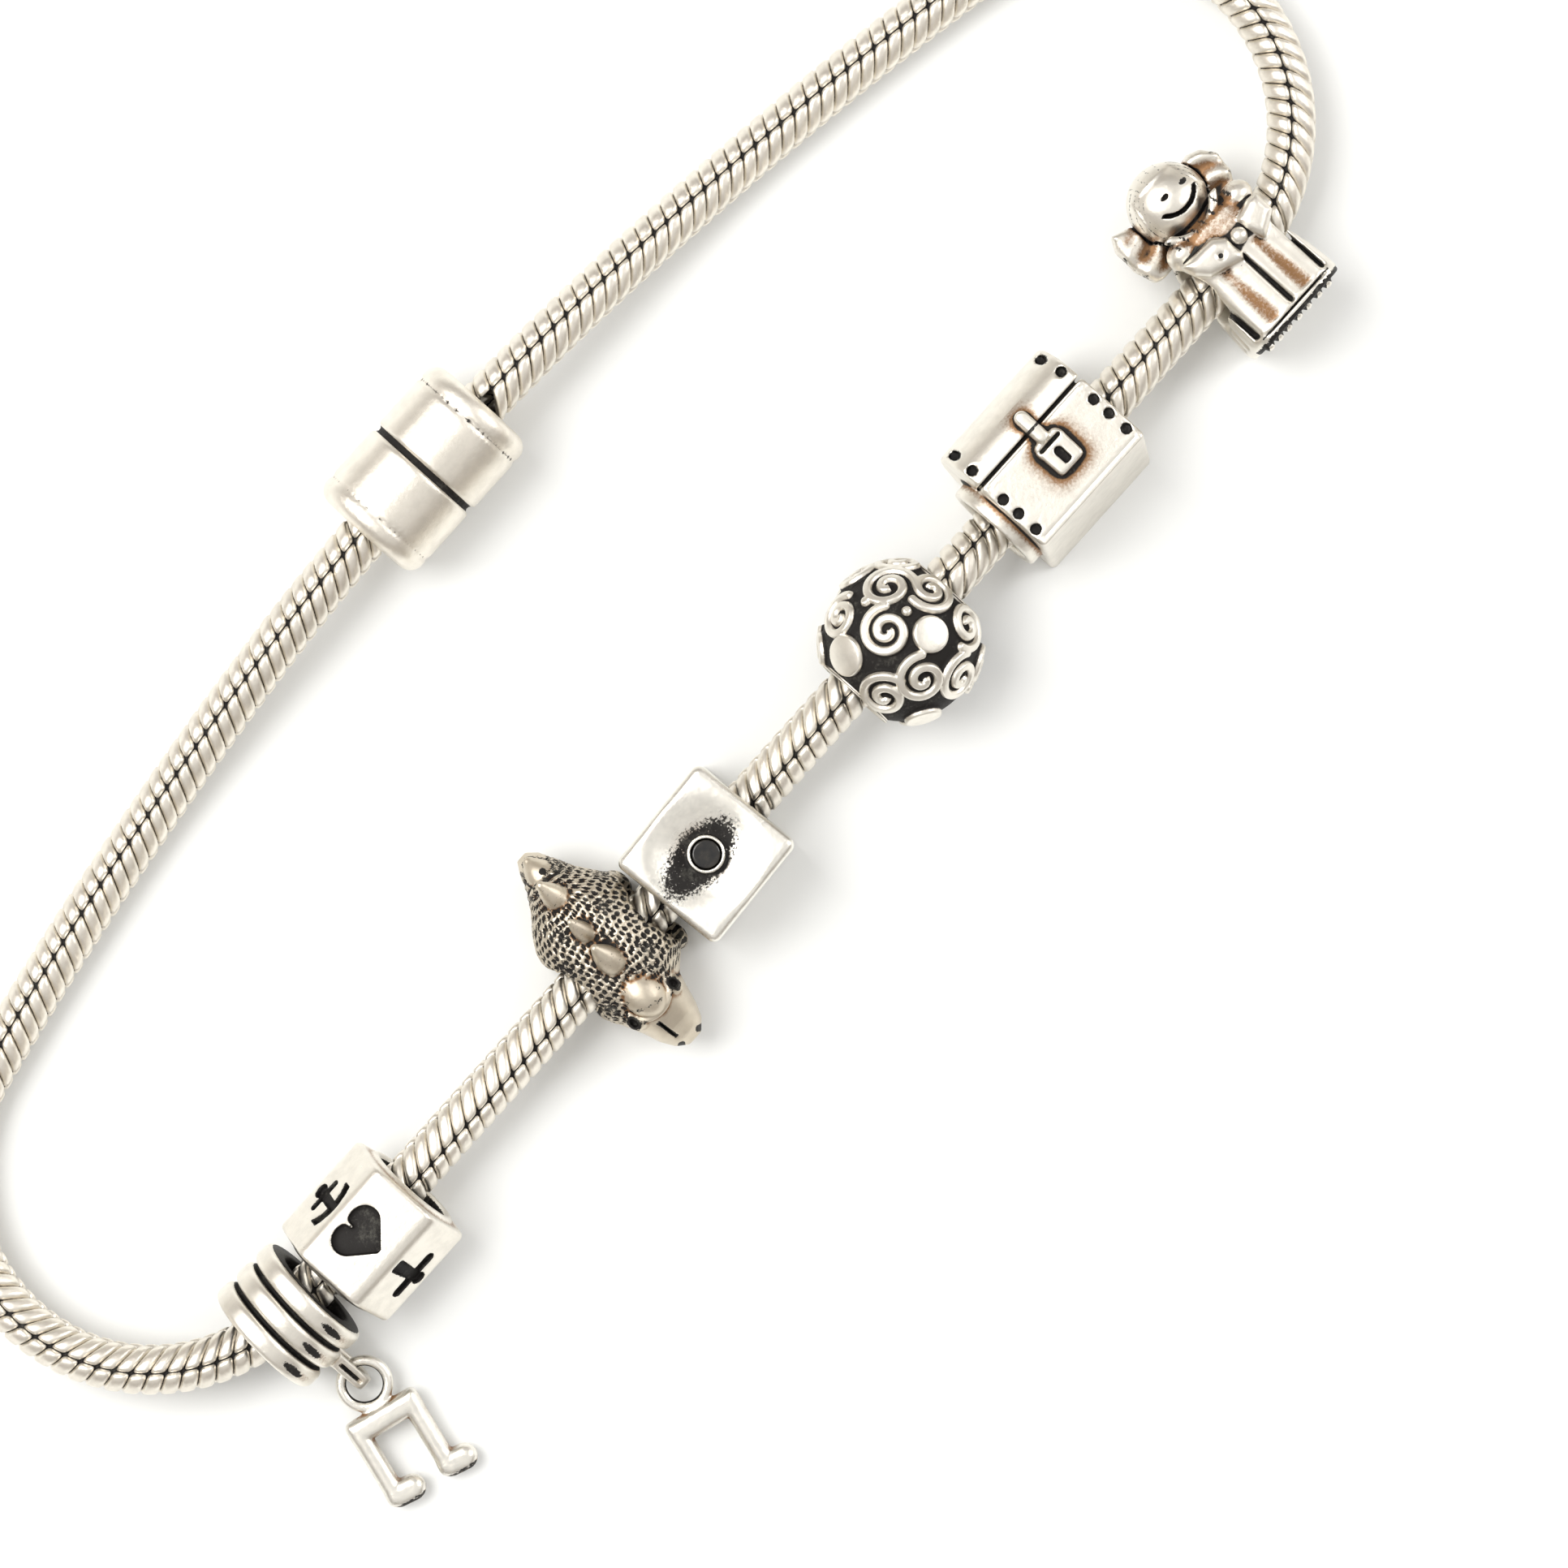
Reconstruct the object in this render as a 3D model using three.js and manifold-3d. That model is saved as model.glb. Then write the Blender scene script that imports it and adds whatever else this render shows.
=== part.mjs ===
// A silver charm bracelet: a snake chain in a closed loop that lies on a surface, with charms
// threaded on its straight run. The whole loop is 230 mm round, clasp included. Millimetres,
// +Z up, +X along the straight run, +Y towards the strand with the clasp. Every charm is built
// about the middle of its own bore.
import * as THREE from "three";
import { mergeVertices } from "three/addons/utils/BufferGeometryUtils.js";
import Module from "manifold-3d";

const wasm = await Module();
wasm.setup();

// Chain and loop
const chainDiameter = 2.9;
const runLength = 80;
const runMiddle = -0.4;
const turnRadius = 11;
const turnAngle = THREE.MathUtils.degToRad(168);
const chainSteps = 80;
const chainSides = 12;
const boreDiameter = 4.7;
const boreSides = 32;
const fitGap = 0.3;
const rampShare = 0.55;

// Clasp
const claspDiameter = 7.2;
const claspLength = 10;
const claspSocketDepth = 3.6;
const claspGroove = 0.45;
const claspEase = 1.1;

// Ridged bead, with the loop that carries the note
const ridgedDiameter = 7.4;
const ridgeWidth = 1.2;
const ridgeCount = 3;
const ridgeGap = 0.32;
const ridgeDepth = 0.5;
const ridgeSteps = 5;
const loopHeight = 2.2;
const loopWidth = 0.9;
const loopWire = 0.55;
const loopReach = 1.84;
const loopDip = THREE.MathUtils.degToRad(28);
const loopRootDepth = 0.8;

// Note, with its eye ring
const eyeDiameter = 3.3;
const eyeWire = 0.62;
const noteBarWidth = 4.55;
const noteHeight = 5.75;
const noteBar = 1.45;
const noteStem = 1.12;
const noteHead = 2.3;
const noteHeadHeight = 1.5;
const noteThickness = 1.3;
const noteSplay = 0.35;
const noteOverlap = 0.15;
const wireInset = 0.45;
const noteTurn = THREE.MathUtils.degToRad(-17.3);

// Six-sided drum
const drumFlats = 7.2;
const drumLength = 7.3;
const drumBevel = 0.46;
const drumRim = 0.3;
const symbolDepth = 0.35;
const heartSize = 3.1;
const anchorSize = 2.9;
const crossSize = 3.1;

// Dinosaur
const dinosaurLength = 14.2;
const dinosaurWidth = 7.15;
const dinosaurHeight = 7.2;
const plateHeight = 1.1;
const plateLean = 0.5;

// Dished cube and its stone
const cubeSize = 7.3;
const cubeEdge = 0.9;
const dishWidth = 6;
const dishDepth = 0.8;
const bezelDiameter = 2.17;
const stoneDiameter = 1.6;
const stoneThickness = 0.55;
const stoneGap = 0.08;

// Scroll ball
const ballDiameter = 9.6;
const ballLength = 8.2;
const ballSteps = 13;

// Treasure chest
const chestWidth = 8.7;
const chestDepth = 7.8;
const chestBody = 4.9;
const chestLid = 2.8;
const chestFlare = 1.4;
const seamHeight = 2.13;
const seamWidth = 0.28;
const seamDepth = 0.4;
const lockWidth = 1.8;
const lockHeight = 2.5;
const lockProud = 0.6;
const lockMiddle = 0.3;
const haspWidth = 0.84;
const haspHeight = 2.5;
const haspMiddle = 2.25;
const collarDiameter = 6;
const collarLength = 0.9;

// Angel
const angelDressHeight = 7.5;
const angelDressWidth = 6.9;
const angelDepth = 6.6;
const headDiameter = 4.7;
const headAside = -0.35;
const headReach = 5;
const wingSpan = 9.1;
const wingThickness = 1.3;
const sleeveDiameter = 2.6;
const sleeveAside = 1.75;
const sleeveReach = 0.9;
const handsDiameter = 0.95;

// Where the charms sit along the run. The first two and the last keep to the run's ends, and
// the dinosaur keeps beside the cube.
const beadPastRun = 0.55;
const beadToDrum = 0.6;
const dinosaurToCube = 0.275;
const cubeAlong = -5.9;
const ballAlong = 10.4;
const chestAlong = 24.05;
const angelInsideRun = 0.5;

const silver = (name, color = 0xd9d5cc) =>
  new THREE.MeshStandardMaterial({ name, color, roughness: 0.35, metalness: 1 });

// A closed geometry as a solid for joining and cutting
function solid(geometry) {
  const bare = geometry.clone();
  bare.deleteAttribute("normal");
  bare.deleteAttribute("uv");
  const merged = mergeVertices(bare, 1e-4);
  const vertProperties = new Float32Array(merged.attributes.position.array);
  const triVerts = new Uint32Array(merged.index.array);
  return new wasm.Manifold(new wasm.Mesh({ numProp: 3, vertProperties, triVerts }));
}

function geometryOf(body) {
  const mesh = body.getMesh();
  const geometry = new THREE.BufferGeometry();
  geometry.setAttribute("position", new THREE.BufferAttribute(mesh.vertProperties, 3));
  geometry.setIndex(new THREE.BufferAttribute(mesh.triVerts, 1));
  return geometry;
}

// A solid of revolution about the X axis from [along, radius] pairs
function turned(profile, sides) {
  const points = profile.map(([along, radius]) => new THREE.Vector2(radius, along));
  return new THREE.LatheGeometry(points, sides).rotateZ(-Math.PI / 2);
}

function rod(diameter, length) {
  return new THREE.CylinderGeometry(diameter / 2, diameter / 2, length, boreSides).rotateZ(Math.PI / 2);
}

function ball(diameter, x, y, z, stretch = [1, 1, 1]) {
  const geometry = new THREE.SphereGeometry(diameter / 2, 20, 14);
  return geometry.scale(...stretch).translate(x, y, z);
}

// A flat plate of an outline in the XY plane, centred on its thickness, with eased edges
function plate(shape, thickness, ease = 0, curveSegments = 10) {
  const options = {
    depth: thickness - 2 * ease,
    bevelEnabled: ease > 0,
    bevelThickness: ease,
    bevelSize: ease,
    bevelOffset: -ease,
    bevelSegments: 1,
    curveSegments,
  };
  const geometry = new THREE.ExtrudeGeometry(shape, options);
  return geometry.translate(0, 0, ease - thickness / 2);
}

// A body lofted down the Y axis through oval sections, each row a share of the three sizes:
// along, middle in X, half width, bottom and top
function lofted(rows, length, width, height, sides, squareness) {
  const positions = [];
  const index = [];
  const power = 2 / squareness;
  const bend = (value) => Math.sign(value) * Math.abs(value) ** power;
  for (const [along, middle, half, bottom, top] of rows) {
    for (let i = 0; i < sides; i += 1) {
      const angle = (2 * Math.PI * i) / sides;
      const x = (middle + half * bend(Math.cos(angle))) * width;
      const z = ((top + bottom) / 2 + ((top - bottom) / 2) * bend(Math.sin(angle))) * height;
      positions.push(x, along * length, z);
    }
  }
  const last = (rows.length - 1) * sides;
  for (const [row, start] of [[rows[0], 0], [rows.at(-1), last]]) {
    const [along, middle, , bottom, top] = row;
    const centre = positions.length / 3;
    positions.push(middle * width, along * length, ((top + bottom) / 2) * height);
    for (let i = 0; i < sides; i += 1) {
      const next = start + ((i + 1) % sides);
      const edge = start === 0 ? [next, start + i] : [start + i, next];
      index.push(centre, ...edge);
    }
  }
  for (let row = 0; row < rows.length - 1; row += 1) {
    for (let i = 0; i < sides; i += 1) {
      const a = row * sides + i;
      const b = row * sides + ((i + 1) % sides);
      index.push(a, b, a + sides, b, b + sides, a + sides);
    }
  }
  const geometry = new THREE.BufferGeometry();
  geometry.setAttribute("position", new THREE.Float32BufferAttribute(positions, 3));
  geometry.setIndex(index);
  return solid(geometry);
}

function bored(body, length) {
  return body.subtract(solid(rod(boreDiameter, length)));
}

// Height of each charm's bore above the surface, and of the chain inside it
const wallMargin = 1.15;
const boreHeights = {
  ridged_bead: ridgedDiameter / 2,
  hexagonal_drum: drumFlats / 2,
  dinosaur: dinosaurHeight / 2 + 0.1,
  dished_cube: cubeSize / 2,
  scroll_ball: ballDiameter / 2,
  treasure_chest: chestDepth / 2,
  angel: Math.max(angelDepth / 2, boreDiameter / 2 + wallMargin),
};
const charmWidths = {
  ridged_bead: ridgeCount * ridgeWidth + (ridgeCount - 1) * ridgeGap,
  hexagonal_drum: drumLength,
  dinosaur: dinosaurWidth,
  dished_cube: cubeSize,
  scroll_ball: ballLength,
  treasure_chest: chestWidth + 2 * collarLength,
  angel: angelDressWidth,
};
const beadAlong = runMiddle - runLength / 2 - beadPastRun;
const spacing = (one, other, room) => (charmWidths[one] + charmWidths[other]) / 2 + room;
const drumAlong = beadAlong + spacing("ridged_bead", "hexagonal_drum", beadToDrum);
const dinosaurAlong = cubeAlong - spacing("dinosaur", "dished_cube", dinosaurToCube);
const angelAlong = runMiddle + runLength / 2 - angelInsideRun;

// Each charm's place along the run, its offset across it and its turn in degrees
const places = {
  ridged_bead: { along: beadAlong, across: -0.1, turn: -4 },
  hexagonal_drum: { along: drumAlong, across: -0.45, turn: 0 },
  dinosaur: { along: dinosaurAlong, across: 0, turn: 0 },
  dished_cube: { along: cubeAlong, across: -0.22, turn: 3 },
  scroll_ball: { along: ballAlong, across: -0.4, turn: 0 },
  treasure_chest: { along: chestAlong, across: 0, turn: 0 },
  angel: { along: angelAlong, across: 0, turn: 0 },
};
const play = (boreDiameter - chainDiameter) / 2 - fitGap;
const drop = ({ across }) => Math.sqrt(Math.max(0, play ** 2 - across ** 2)) * 0.9;

// Height of the chain along the straight run: level inside a charm, smooth between them
const heightStops = [];
for (const [name, place] of Object.entries(places)) {
  const height = boreHeights[name] - drop(place);
  const half = charmWidths[name] / 2 + fitGap;
  heightStops.push([place.along - half, height], [place.along + half, height]);
}
const tableHeight = chainDiameter / 2;
const claspHeight = claspDiameter / 2;
const smooth = (share) => share * share * (3 - 2 * share);

function runHeight(x) {
  const after = heightStops.findIndex(([stop]) => stop > x);
  const [x0, z0] = heightStops[after - 1];
  const [x1, z1] = heightStops[after];
  return z0 + (z1 - z0) * smooth((x - x0) / (x1 - x0));
}

// The loop: the straight run, two end turns and one wide return arc, whose radius and angle
// follow from the run and the turns.
const returnAngle = Math.PI - turnAngle;
const returnRadius = runLength / 2 / Math.sin(turnAngle) + turnRadius;
const turnLength = turnRadius * turnAngle;
const returnLength = 2 * returnRadius * returnAngle;
const turnCentreX = runLength / 2;
const returnCentreY = turnRadius - turnCentreX / Math.tan(returnAngle);

// A point at a distance from the middle of the return strand, counter-clockwise seen from above
function plan(distance) {
  const [x, y] = planAboutMiddle(distance);
  return [x + runMiddle, y];
}

function planAboutMiddle(distance) {
  const half = returnLength / 2;
  const side = Math.sign(distance) || 1;
  const way = Math.abs(distance);
  if (way <= half) {
    const angle = way / returnRadius;
    return [-side * returnRadius * Math.sin(angle), returnCentreY + returnRadius * Math.cos(angle)];
  }
  if (way <= half + turnLength) {
    const angle = returnAngle + (way - half) / turnRadius;
    const x = turnCentreX + turnRadius * Math.sin(angle);
    return [-side * x, turnRadius + turnRadius * Math.cos(angle)];
  }
  return [-side * (turnCentreX - (way - half - turnLength)), 0];
}

function routePoint(distance) {
  const [x, y] = plan(distance);
  const way = Math.abs(distance);
  const claspEnd = claspLength / 2 + fitGap;
  const rampLength = rampShare * turnCentreX;
  if (way < claspEnd + rampLength) {
    const share = Math.max(0, way - claspEnd) / rampLength;
    return new THREE.Vector3(x, y, claspHeight + (tableHeight - claspHeight) * smooth(share));
  }
  const [lowX, lowZ] = heightStops[0];
  const [highX, highZ] = heightStops.at(-1);
  const onRun = y < turnRadius / 2 && x >= lowX && x <= highX;
  if (onRun) return new THREE.Vector3(x, y, runHeight(x));
  const [edgeX, edgeZ] = x < 0 ? [lowX, lowZ] : [highX, highZ];
  const edgeWay = returnLength / 2 + turnLength + turnCentreX - Math.abs(edgeX - runMiddle);
  const share = Math.min(1, Math.max(0, (edgeWay - way) / turnLength));
  return new THREE.Vector3(x, y, edgeZ + (tableHeight - edgeZ) * smooth(share));
}

function snakeChain() {
  const start = claspLength / 2 - claspSocketDepth + fitGap;
  const half = (returnLength + 2 * turnLength + runLength) / 2;
  const points = [];
  const stations = 4 * chainSteps;
  for (let i = 0; i <= stations; i += 1) {
    const way = start + ((2 * half - 2 * start) * i) / stations;
    points.push(routePoint(way <= half ? way : way - 2 * half));
  }
  const route = new THREE.CatmullRomCurve3(points, false, "centripetal");
  const ring = new THREE.Shape();
  ring.absarc(0, 0, chainDiameter / 2, 0, 2 * Math.PI);
  return new THREE.ExtrudeGeometry(ring, {
    steps: chainSteps,
    extrudePath: route,
    curveSegments: chainSides / 2,
    bevelEnabled: false,
  });
}

function barrelClasp() {
  const half = claspLength / 2;
  const radius = claspDiameter / 2;
  const socket = chainDiameter / 2 + fitGap;
  const floor = half - claspSocketDepth;
  const profile = [[-floor, 0], [-floor, socket], [-half, socket], [-half, radius - claspEase]];
  profile.push([-half + claspEase * 0.35, radius - claspEase * 0.3], [-half + claspEase * 1.2, radius]);
  profile.push([-claspGroove, radius], [-claspGroove / 2, radius - claspGroove]);
  const mirrored = profile.map(([along, r]) => [-along, r]).reverse();
  return turned([...profile, ...mirrored], 36);
}

// Direction of the loop's stem in the YZ plane, seen along the bore
function loopPoint(reach) {
  return [-reach * Math.cos(loopDip), -reach * Math.sin(loopDip)];
}

function ridgedBead() {
  const outer = ridgedDiameter / 2;
  const length = charmWidths.ridged_bead;
  const profile = [[-length / 2, boreDiameter / 2]];
  for (let ridge = 0; ridge < ridgeCount; ridge += 1) {
    const start = -length / 2 + ridge * (ridgeWidth + ridgeGap);
    for (let step = 0; step <= ridgeSteps; step += 1) {
      const angle = (Math.PI * step) / ridgeSteps;
      const along = start + (ridgeWidth / 2) * (1 - Math.cos(angle));
      profile.push([along, outer - ridgeDepth * (1 - Math.sin(angle))]);
    }
  }
  profile.push([length / 2, boreDiameter / 2], [-length / 2, boreDiameter / 2]);
  const bead = solid(turned(profile, 32));

  const arcCentre = outer + loopReach;
  const stem = new THREE.Shape();
  const root = outer - loopRootDepth;
  stem.moveTo(root, -loopHeight / 2);
  stem.lineTo(arcCentre, -loopHeight / 2);
  stem.absarc(arcCentre, 0, loopHeight / 2, -Math.PI / 2, Math.PI / 2);
  stem.lineTo(root, loopHeight / 2);
  const slit = new THREE.Path();
  const slitHalf = loopHeight / 2 - loopWire;
  slit.moveTo(outer + 0.1, -slitHalf);
  slit.lineTo(outer + 0.1, slitHalf);
  slit.lineTo(arcCentre, slitHalf);
  slit.absarc(arcCentre, 0, slitHalf, Math.PI / 2, -Math.PI / 2, true);
  stem.holes.push(slit);
  const hoop = plate(stem, loopWidth, 0.15);
  // The outline's X goes outwards and down, its thickness along the bore
  const basis = new THREE.Matrix4().makeBasis(
    new THREE.Vector3(0, ...loopPoint(1)),
    new THREE.Vector3(0, Math.sin(loopDip), -Math.cos(loopDip)),
    new THREE.Vector3(1, 0, 0),
  );
  return bead.add(solid(hoop.applyMatrix4(basis)));
}

function musicNote() {
  const top = -(eyeDiameter / 2) + noteOverlap;
  const half = noteBarWidth / 2;
  const foot = top - noteHeight;
  const round = noteHeadHeight / 2;
  const shape = new THREE.Shape();
  const headTop = foot + noteHeadHeight;
  const headMiddle = foot + round;
  const up = Math.PI / 2;
  // One head: round its far end, along the foot and up round its near end
  const addHead = (near, far) => {
    shape.lineTo(far - round, headTop);
    shape.absarc(far - round, headMiddle, round, up, -up, true);
    shape.lineTo(near + round, foot);
    shape.absarc(near + round, headMiddle, round, -up, -Math.PI, true);
  };
  const rightFar = half + noteHead - noteStem + round;
  shape.moveTo(-half, top);
  shape.lineTo(half, top);
  shape.lineTo(half + noteSplay / 2, headTop);
  addHead(half - noteStem, rightFar);
  shape.lineTo(half - noteStem, top - noteBar);
  shape.lineTo(-half + noteStem, top - noteBar);
  shape.lineTo(-half + noteStem, headTop);
  addHead(-half, -half + noteHead);
  const note = solid(plate(shape, noteThickness, 0.3));
  const eye = new THREE.TorusGeometry((eyeDiameter - eyeWire) / 2, eyeWire / 2, 10, 28);
  return note.add(solid(eye));
}

// The eye ring's near wire lies in the middle of the bead's slit, and the heads rest below
function notePlace(bead) {
  const wireReach = ridgedDiameter / 2 + loopReach - wireInset;
  const [wireY, wireZ] = loopPoint(wireReach);
  const lean = bead.turn * THREE.MathUtils.DEG2RAD;
  const wireHeight = boreHeights.ridged_bead + wireZ;
  const eyeHalf = (eyeDiameter - eyeWire) / 2;
  const reach = noteHeight + eyeDiameter / 2 + eyeHalf;
  const tilt = Math.asin((wireHeight - noteThickness / 2 - 0.05) / reach);
  return {
    x: bead.along - (wireY - eyeHalf) * Math.sin(lean),
    y: bead.across + (wireY - eyeHalf) * Math.cos(lean),
    z: wireHeight - eyeHalf * Math.sin(tilt),
    tilt,
  };
}

function heartShape(size) {
  const shape = new THREE.Shape();
  const half = size / 2;
  shape.moveTo(0, -half * 0.9);
  shape.bezierCurveTo(-half * 0.35, -half * 0.45, -half, -half * 0.1, -half, half * 0.35);
  shape.bezierCurveTo(-half, half * 0.95, -half * 0.15, half * 0.95, 0, half * 0.4);
  shape.bezierCurveTo(half * 0.15, half * 0.95, half, half * 0.95, half, half * 0.35);
  shape.bezierCurveTo(half, -half * 0.1, half * 0.35, -half * 0.45, 0, -half * 0.9);
  return [shape];
}

function barShape(x0, y0, x1, y1) {
  const shape = new THREE.Shape();
  shape.moveTo(x0, y0);
  shape.lineTo(x1, y0);
  shape.lineTo(x1, y1);
  shape.lineTo(x0, y1);
  return shape;
}

function roundShape(x, y, radius) {
  const shape = new THREE.Shape();
  shape.absarc(x, y, radius, 0, 2 * Math.PI);
  return shape;
}

function anchorShape(size) {
  const half = size / 2;
  const fluke = new THREE.Shape();
  fluke.absarc(0, -half * 0.1, half * 0.9, Math.PI * 1.08, Math.PI * 1.92);
  fluke.absarc(0, -half * 0.1, half * 0.6, Math.PI * 1.92, Math.PI * 1.08, true);
  const shank = barShape(-half * 0.16, -half * 0.8, half * 0.16, half * 0.75);
  const stock = barShape(-half * 0.55, half * 0.2, half * 0.55, half * 0.5);
  return [fluke, shank, stock, roundShape(0, half * 0.72, half * 0.28)];
}

function crossShape(size) {
  const half = size / 2;
  const upright = barShape(-half * 0.2, -half, half * 0.2, half * 0.8);
  const arms = barShape(-half * 0.75, half * 0.1, half * 0.75, half * 0.5);
  return [upright, arms, roundShape(0, half * 0.72, half * 0.3)];
}

function hexagonalDrum() {
  const apothem = drumFlats / 2;
  const faceHalf = apothem * Math.tan(Math.PI / 6) - drumBevel / 2;
  const outline = [];
  for (let face = 0; face < 6; face += 1) {
    const angle = Math.PI / 2 + (face * Math.PI) / 3;
    for (const side of [1, -1]) {
      const x = apothem * Math.cos(angle) + side * faceHalf * Math.sin(angle);
      const y = apothem * Math.sin(angle) - side * faceHalf * Math.cos(angle);
      outline.push(new THREE.Vector2(x, y));
    }
  }
  const prism = plate(new THREE.Shape(outline), drumLength, drumRim);
  let body = solid(prism.rotateY(Math.PI / 2).rotateX(-Math.PI / 2));
  // Facets seen from above: the heart on top, the anchor and the cross beside it, repeated
  // below, with the facet that the drum rests on left plain
  const facets = [
    { shapes: heartShape(heartSize), around: 0, spin: 0 },
    { shapes: anchorShape(anchorSize), around: 60, spin: 0 },
    { shapes: crossShape(crossSize), around: -60, spin: Math.PI },
    { shapes: crossShape(crossSize), around: 120, spin: Math.PI },
    { shapes: anchorShape(anchorSize), around: -120, spin: 0 },
  ];
  for (const { shapes, around, spin } of facets) {
    for (const shape of shapes) {
      const cutter = plate(shape, 2 * symbolDepth).rotateZ(spin);
      cutter.translate(0, 0, apothem).rotateX(-around * THREE.MathUtils.DEG2RAD);
      body = body.subtract(solid(cutter));
    }
  }
  return bored(body, drumLength + 2);
}

function dinosaur() {
  // From the tail's tip to the beak: along, middle, half width, bottom, top
  const sections = [
    [0.532, 0.05, 0.03, 0.3, 0.42],
    [0.5, 0.06, 0.1, 0.18, 0.55],
    [0.42, 0.05, 0.18, 0.1, 0.68],
    [0.35, 0.03, 0.25, 0.05, 0.78],
    [0.275, 0.0, 0.37, 0.02, 0.88],
    [0.217, 0.0, 0.445, 0.01, 0.94],
    [0.129, 0.0, 0.49, 0.0, 0.98],
    [0.0, 0.0, 0.5, 0.0, 1.0],
    [-0.09, 0.0, 0.49, 0.0, 0.98],
    [-0.162, -0.02, 0.455, 0.01, 0.94],
    [-0.222, -0.05, 0.36, 0.02, 0.88],
    [-0.25, -0.08, 0.29, 0.04, 0.84],
    [-0.31, -0.08, 0.25, 0.08, 0.78],
    [-0.38, -0.09, 0.215, 0.1, 0.68],
    [-0.45, -0.095, 0.14, 0.14, 0.52],
    [-0.476, -0.095, 0.05, 0.22, 0.42],
  ];
  const base = -boreHeights.dinosaur;
  const body = lofted(sections, dinosaurLength, dinosaurWidth, dinosaurHeight, 32, 2.5);
  // Back plates, leaning towards the tail: along and middle as shares, width as a share
  const plates = [
    [0.45, 0.05, 0.22, 0.62],
    [0.3, 0.02, 0.25, 0.8],
    [0.15, -0.02, 0.2, 0.95],
    [-0.02, -0.07, 0.26, 0.98],
    [-0.19, -0.09, 0.28, 0.88],
  ];
  let whole = body;
  for (const [along, middle, wide, foot] of plates) {
    const width = wide * dinosaurWidth;
    const cone = new THREE.ConeGeometry(width / 2, 2.4 * plateHeight, 14);
    cone.rotateX(Math.PI / 2).scale(1, 1.25, 1).rotateX(-plateLean);
    cone.translate(middle * dinosaurWidth, along * dinosaurLength, foot * dinosaurHeight);
    whole = whole.add(solid(cone));
  }
  whole = whole.translate([0, 0, base]);
  return bored(whole, dinosaurWidth + 2);
}

// A cube with pillow edges: each point is pulled towards an inner box and pushed out again
function pillow(size, edge) {
  const geometry = new THREE.BoxGeometry(size, size, size, 8, 8, 8);
  const inner = size / 2 - edge;
  const position = geometry.attributes.position;
  const point = new THREE.Vector3();
  const core = new THREE.Vector3();
  for (let i = 0; i < position.count; i += 1) {
    point.fromBufferAttribute(position, i);
    core.copy(point).clampScalar(-inner, inner);
    point.sub(core);
    if (point.length() > 0) point.setLength(edge);
    point.add(core);
    position.setXYZ(i, point.x, point.y, point.z);
  }
  return geometry;
}

function dishedCube() {
  const top = cubeSize / 2;
  const dishRadius = ((dishWidth / 2) ** 2 + dishDepth ** 2) / (2 * dishDepth);
  const dish = new THREE.SphereGeometry(dishRadius, 48, 36);
  dish.translate(0, 0, top - dishDepth + dishRadius);
  let body = solid(pillow(cubeSize, cubeEdge)).subtract(solid(dish));
  const bezelHeight = dishDepth + 0.4;
  const bezel = new THREE.CylinderGeometry(bezelDiameter / 2, bezelDiameter / 2, bezelHeight, 28);
  bezel.rotateX(Math.PI / 2).translate(0, 0, top - bezelHeight / 2);
  const seatDepth = stoneThickness + stoneGap;
  const seatRadius = stoneDiameter / 2 + stoneGap;
  const seat = new THREE.CylinderGeometry(seatRadius, seatRadius, 2 * seatDepth, 28);
  seat.rotateX(Math.PI / 2).translate(0, 0, top);
  body = body.add(solid(bezel)).subtract(solid(seat));
  return bored(body, cubeSize + 2);
}

function cubeStone() {
  const radius = stoneDiameter / 2;
  const stone = new THREE.CylinderGeometry(radius * 0.88, radius, stoneThickness, 28);
  return stone.rotateX(Math.PI / 2).translate(0, 0, cubeSize / 2 - stoneThickness / 2);
}

function scrollBall() {
  const radius = ballDiameter / 2;
  const half = ballLength / 2;
  const profile = [[-half, boreDiameter / 2]];
  const reach = Math.asin(Math.min(0.95, half / radius));
  for (let i = 0; i <= ballSteps; i += 1) {
    const angle = -reach + (2 * reach * i) / ballSteps;
    profile.push([radius * Math.sin(angle), radius * Math.cos(angle)]);
  }
  profile.push([half, boreDiameter / 2], [-half, boreDiameter / 2]);
  return turned(profile, 36);
}

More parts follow.
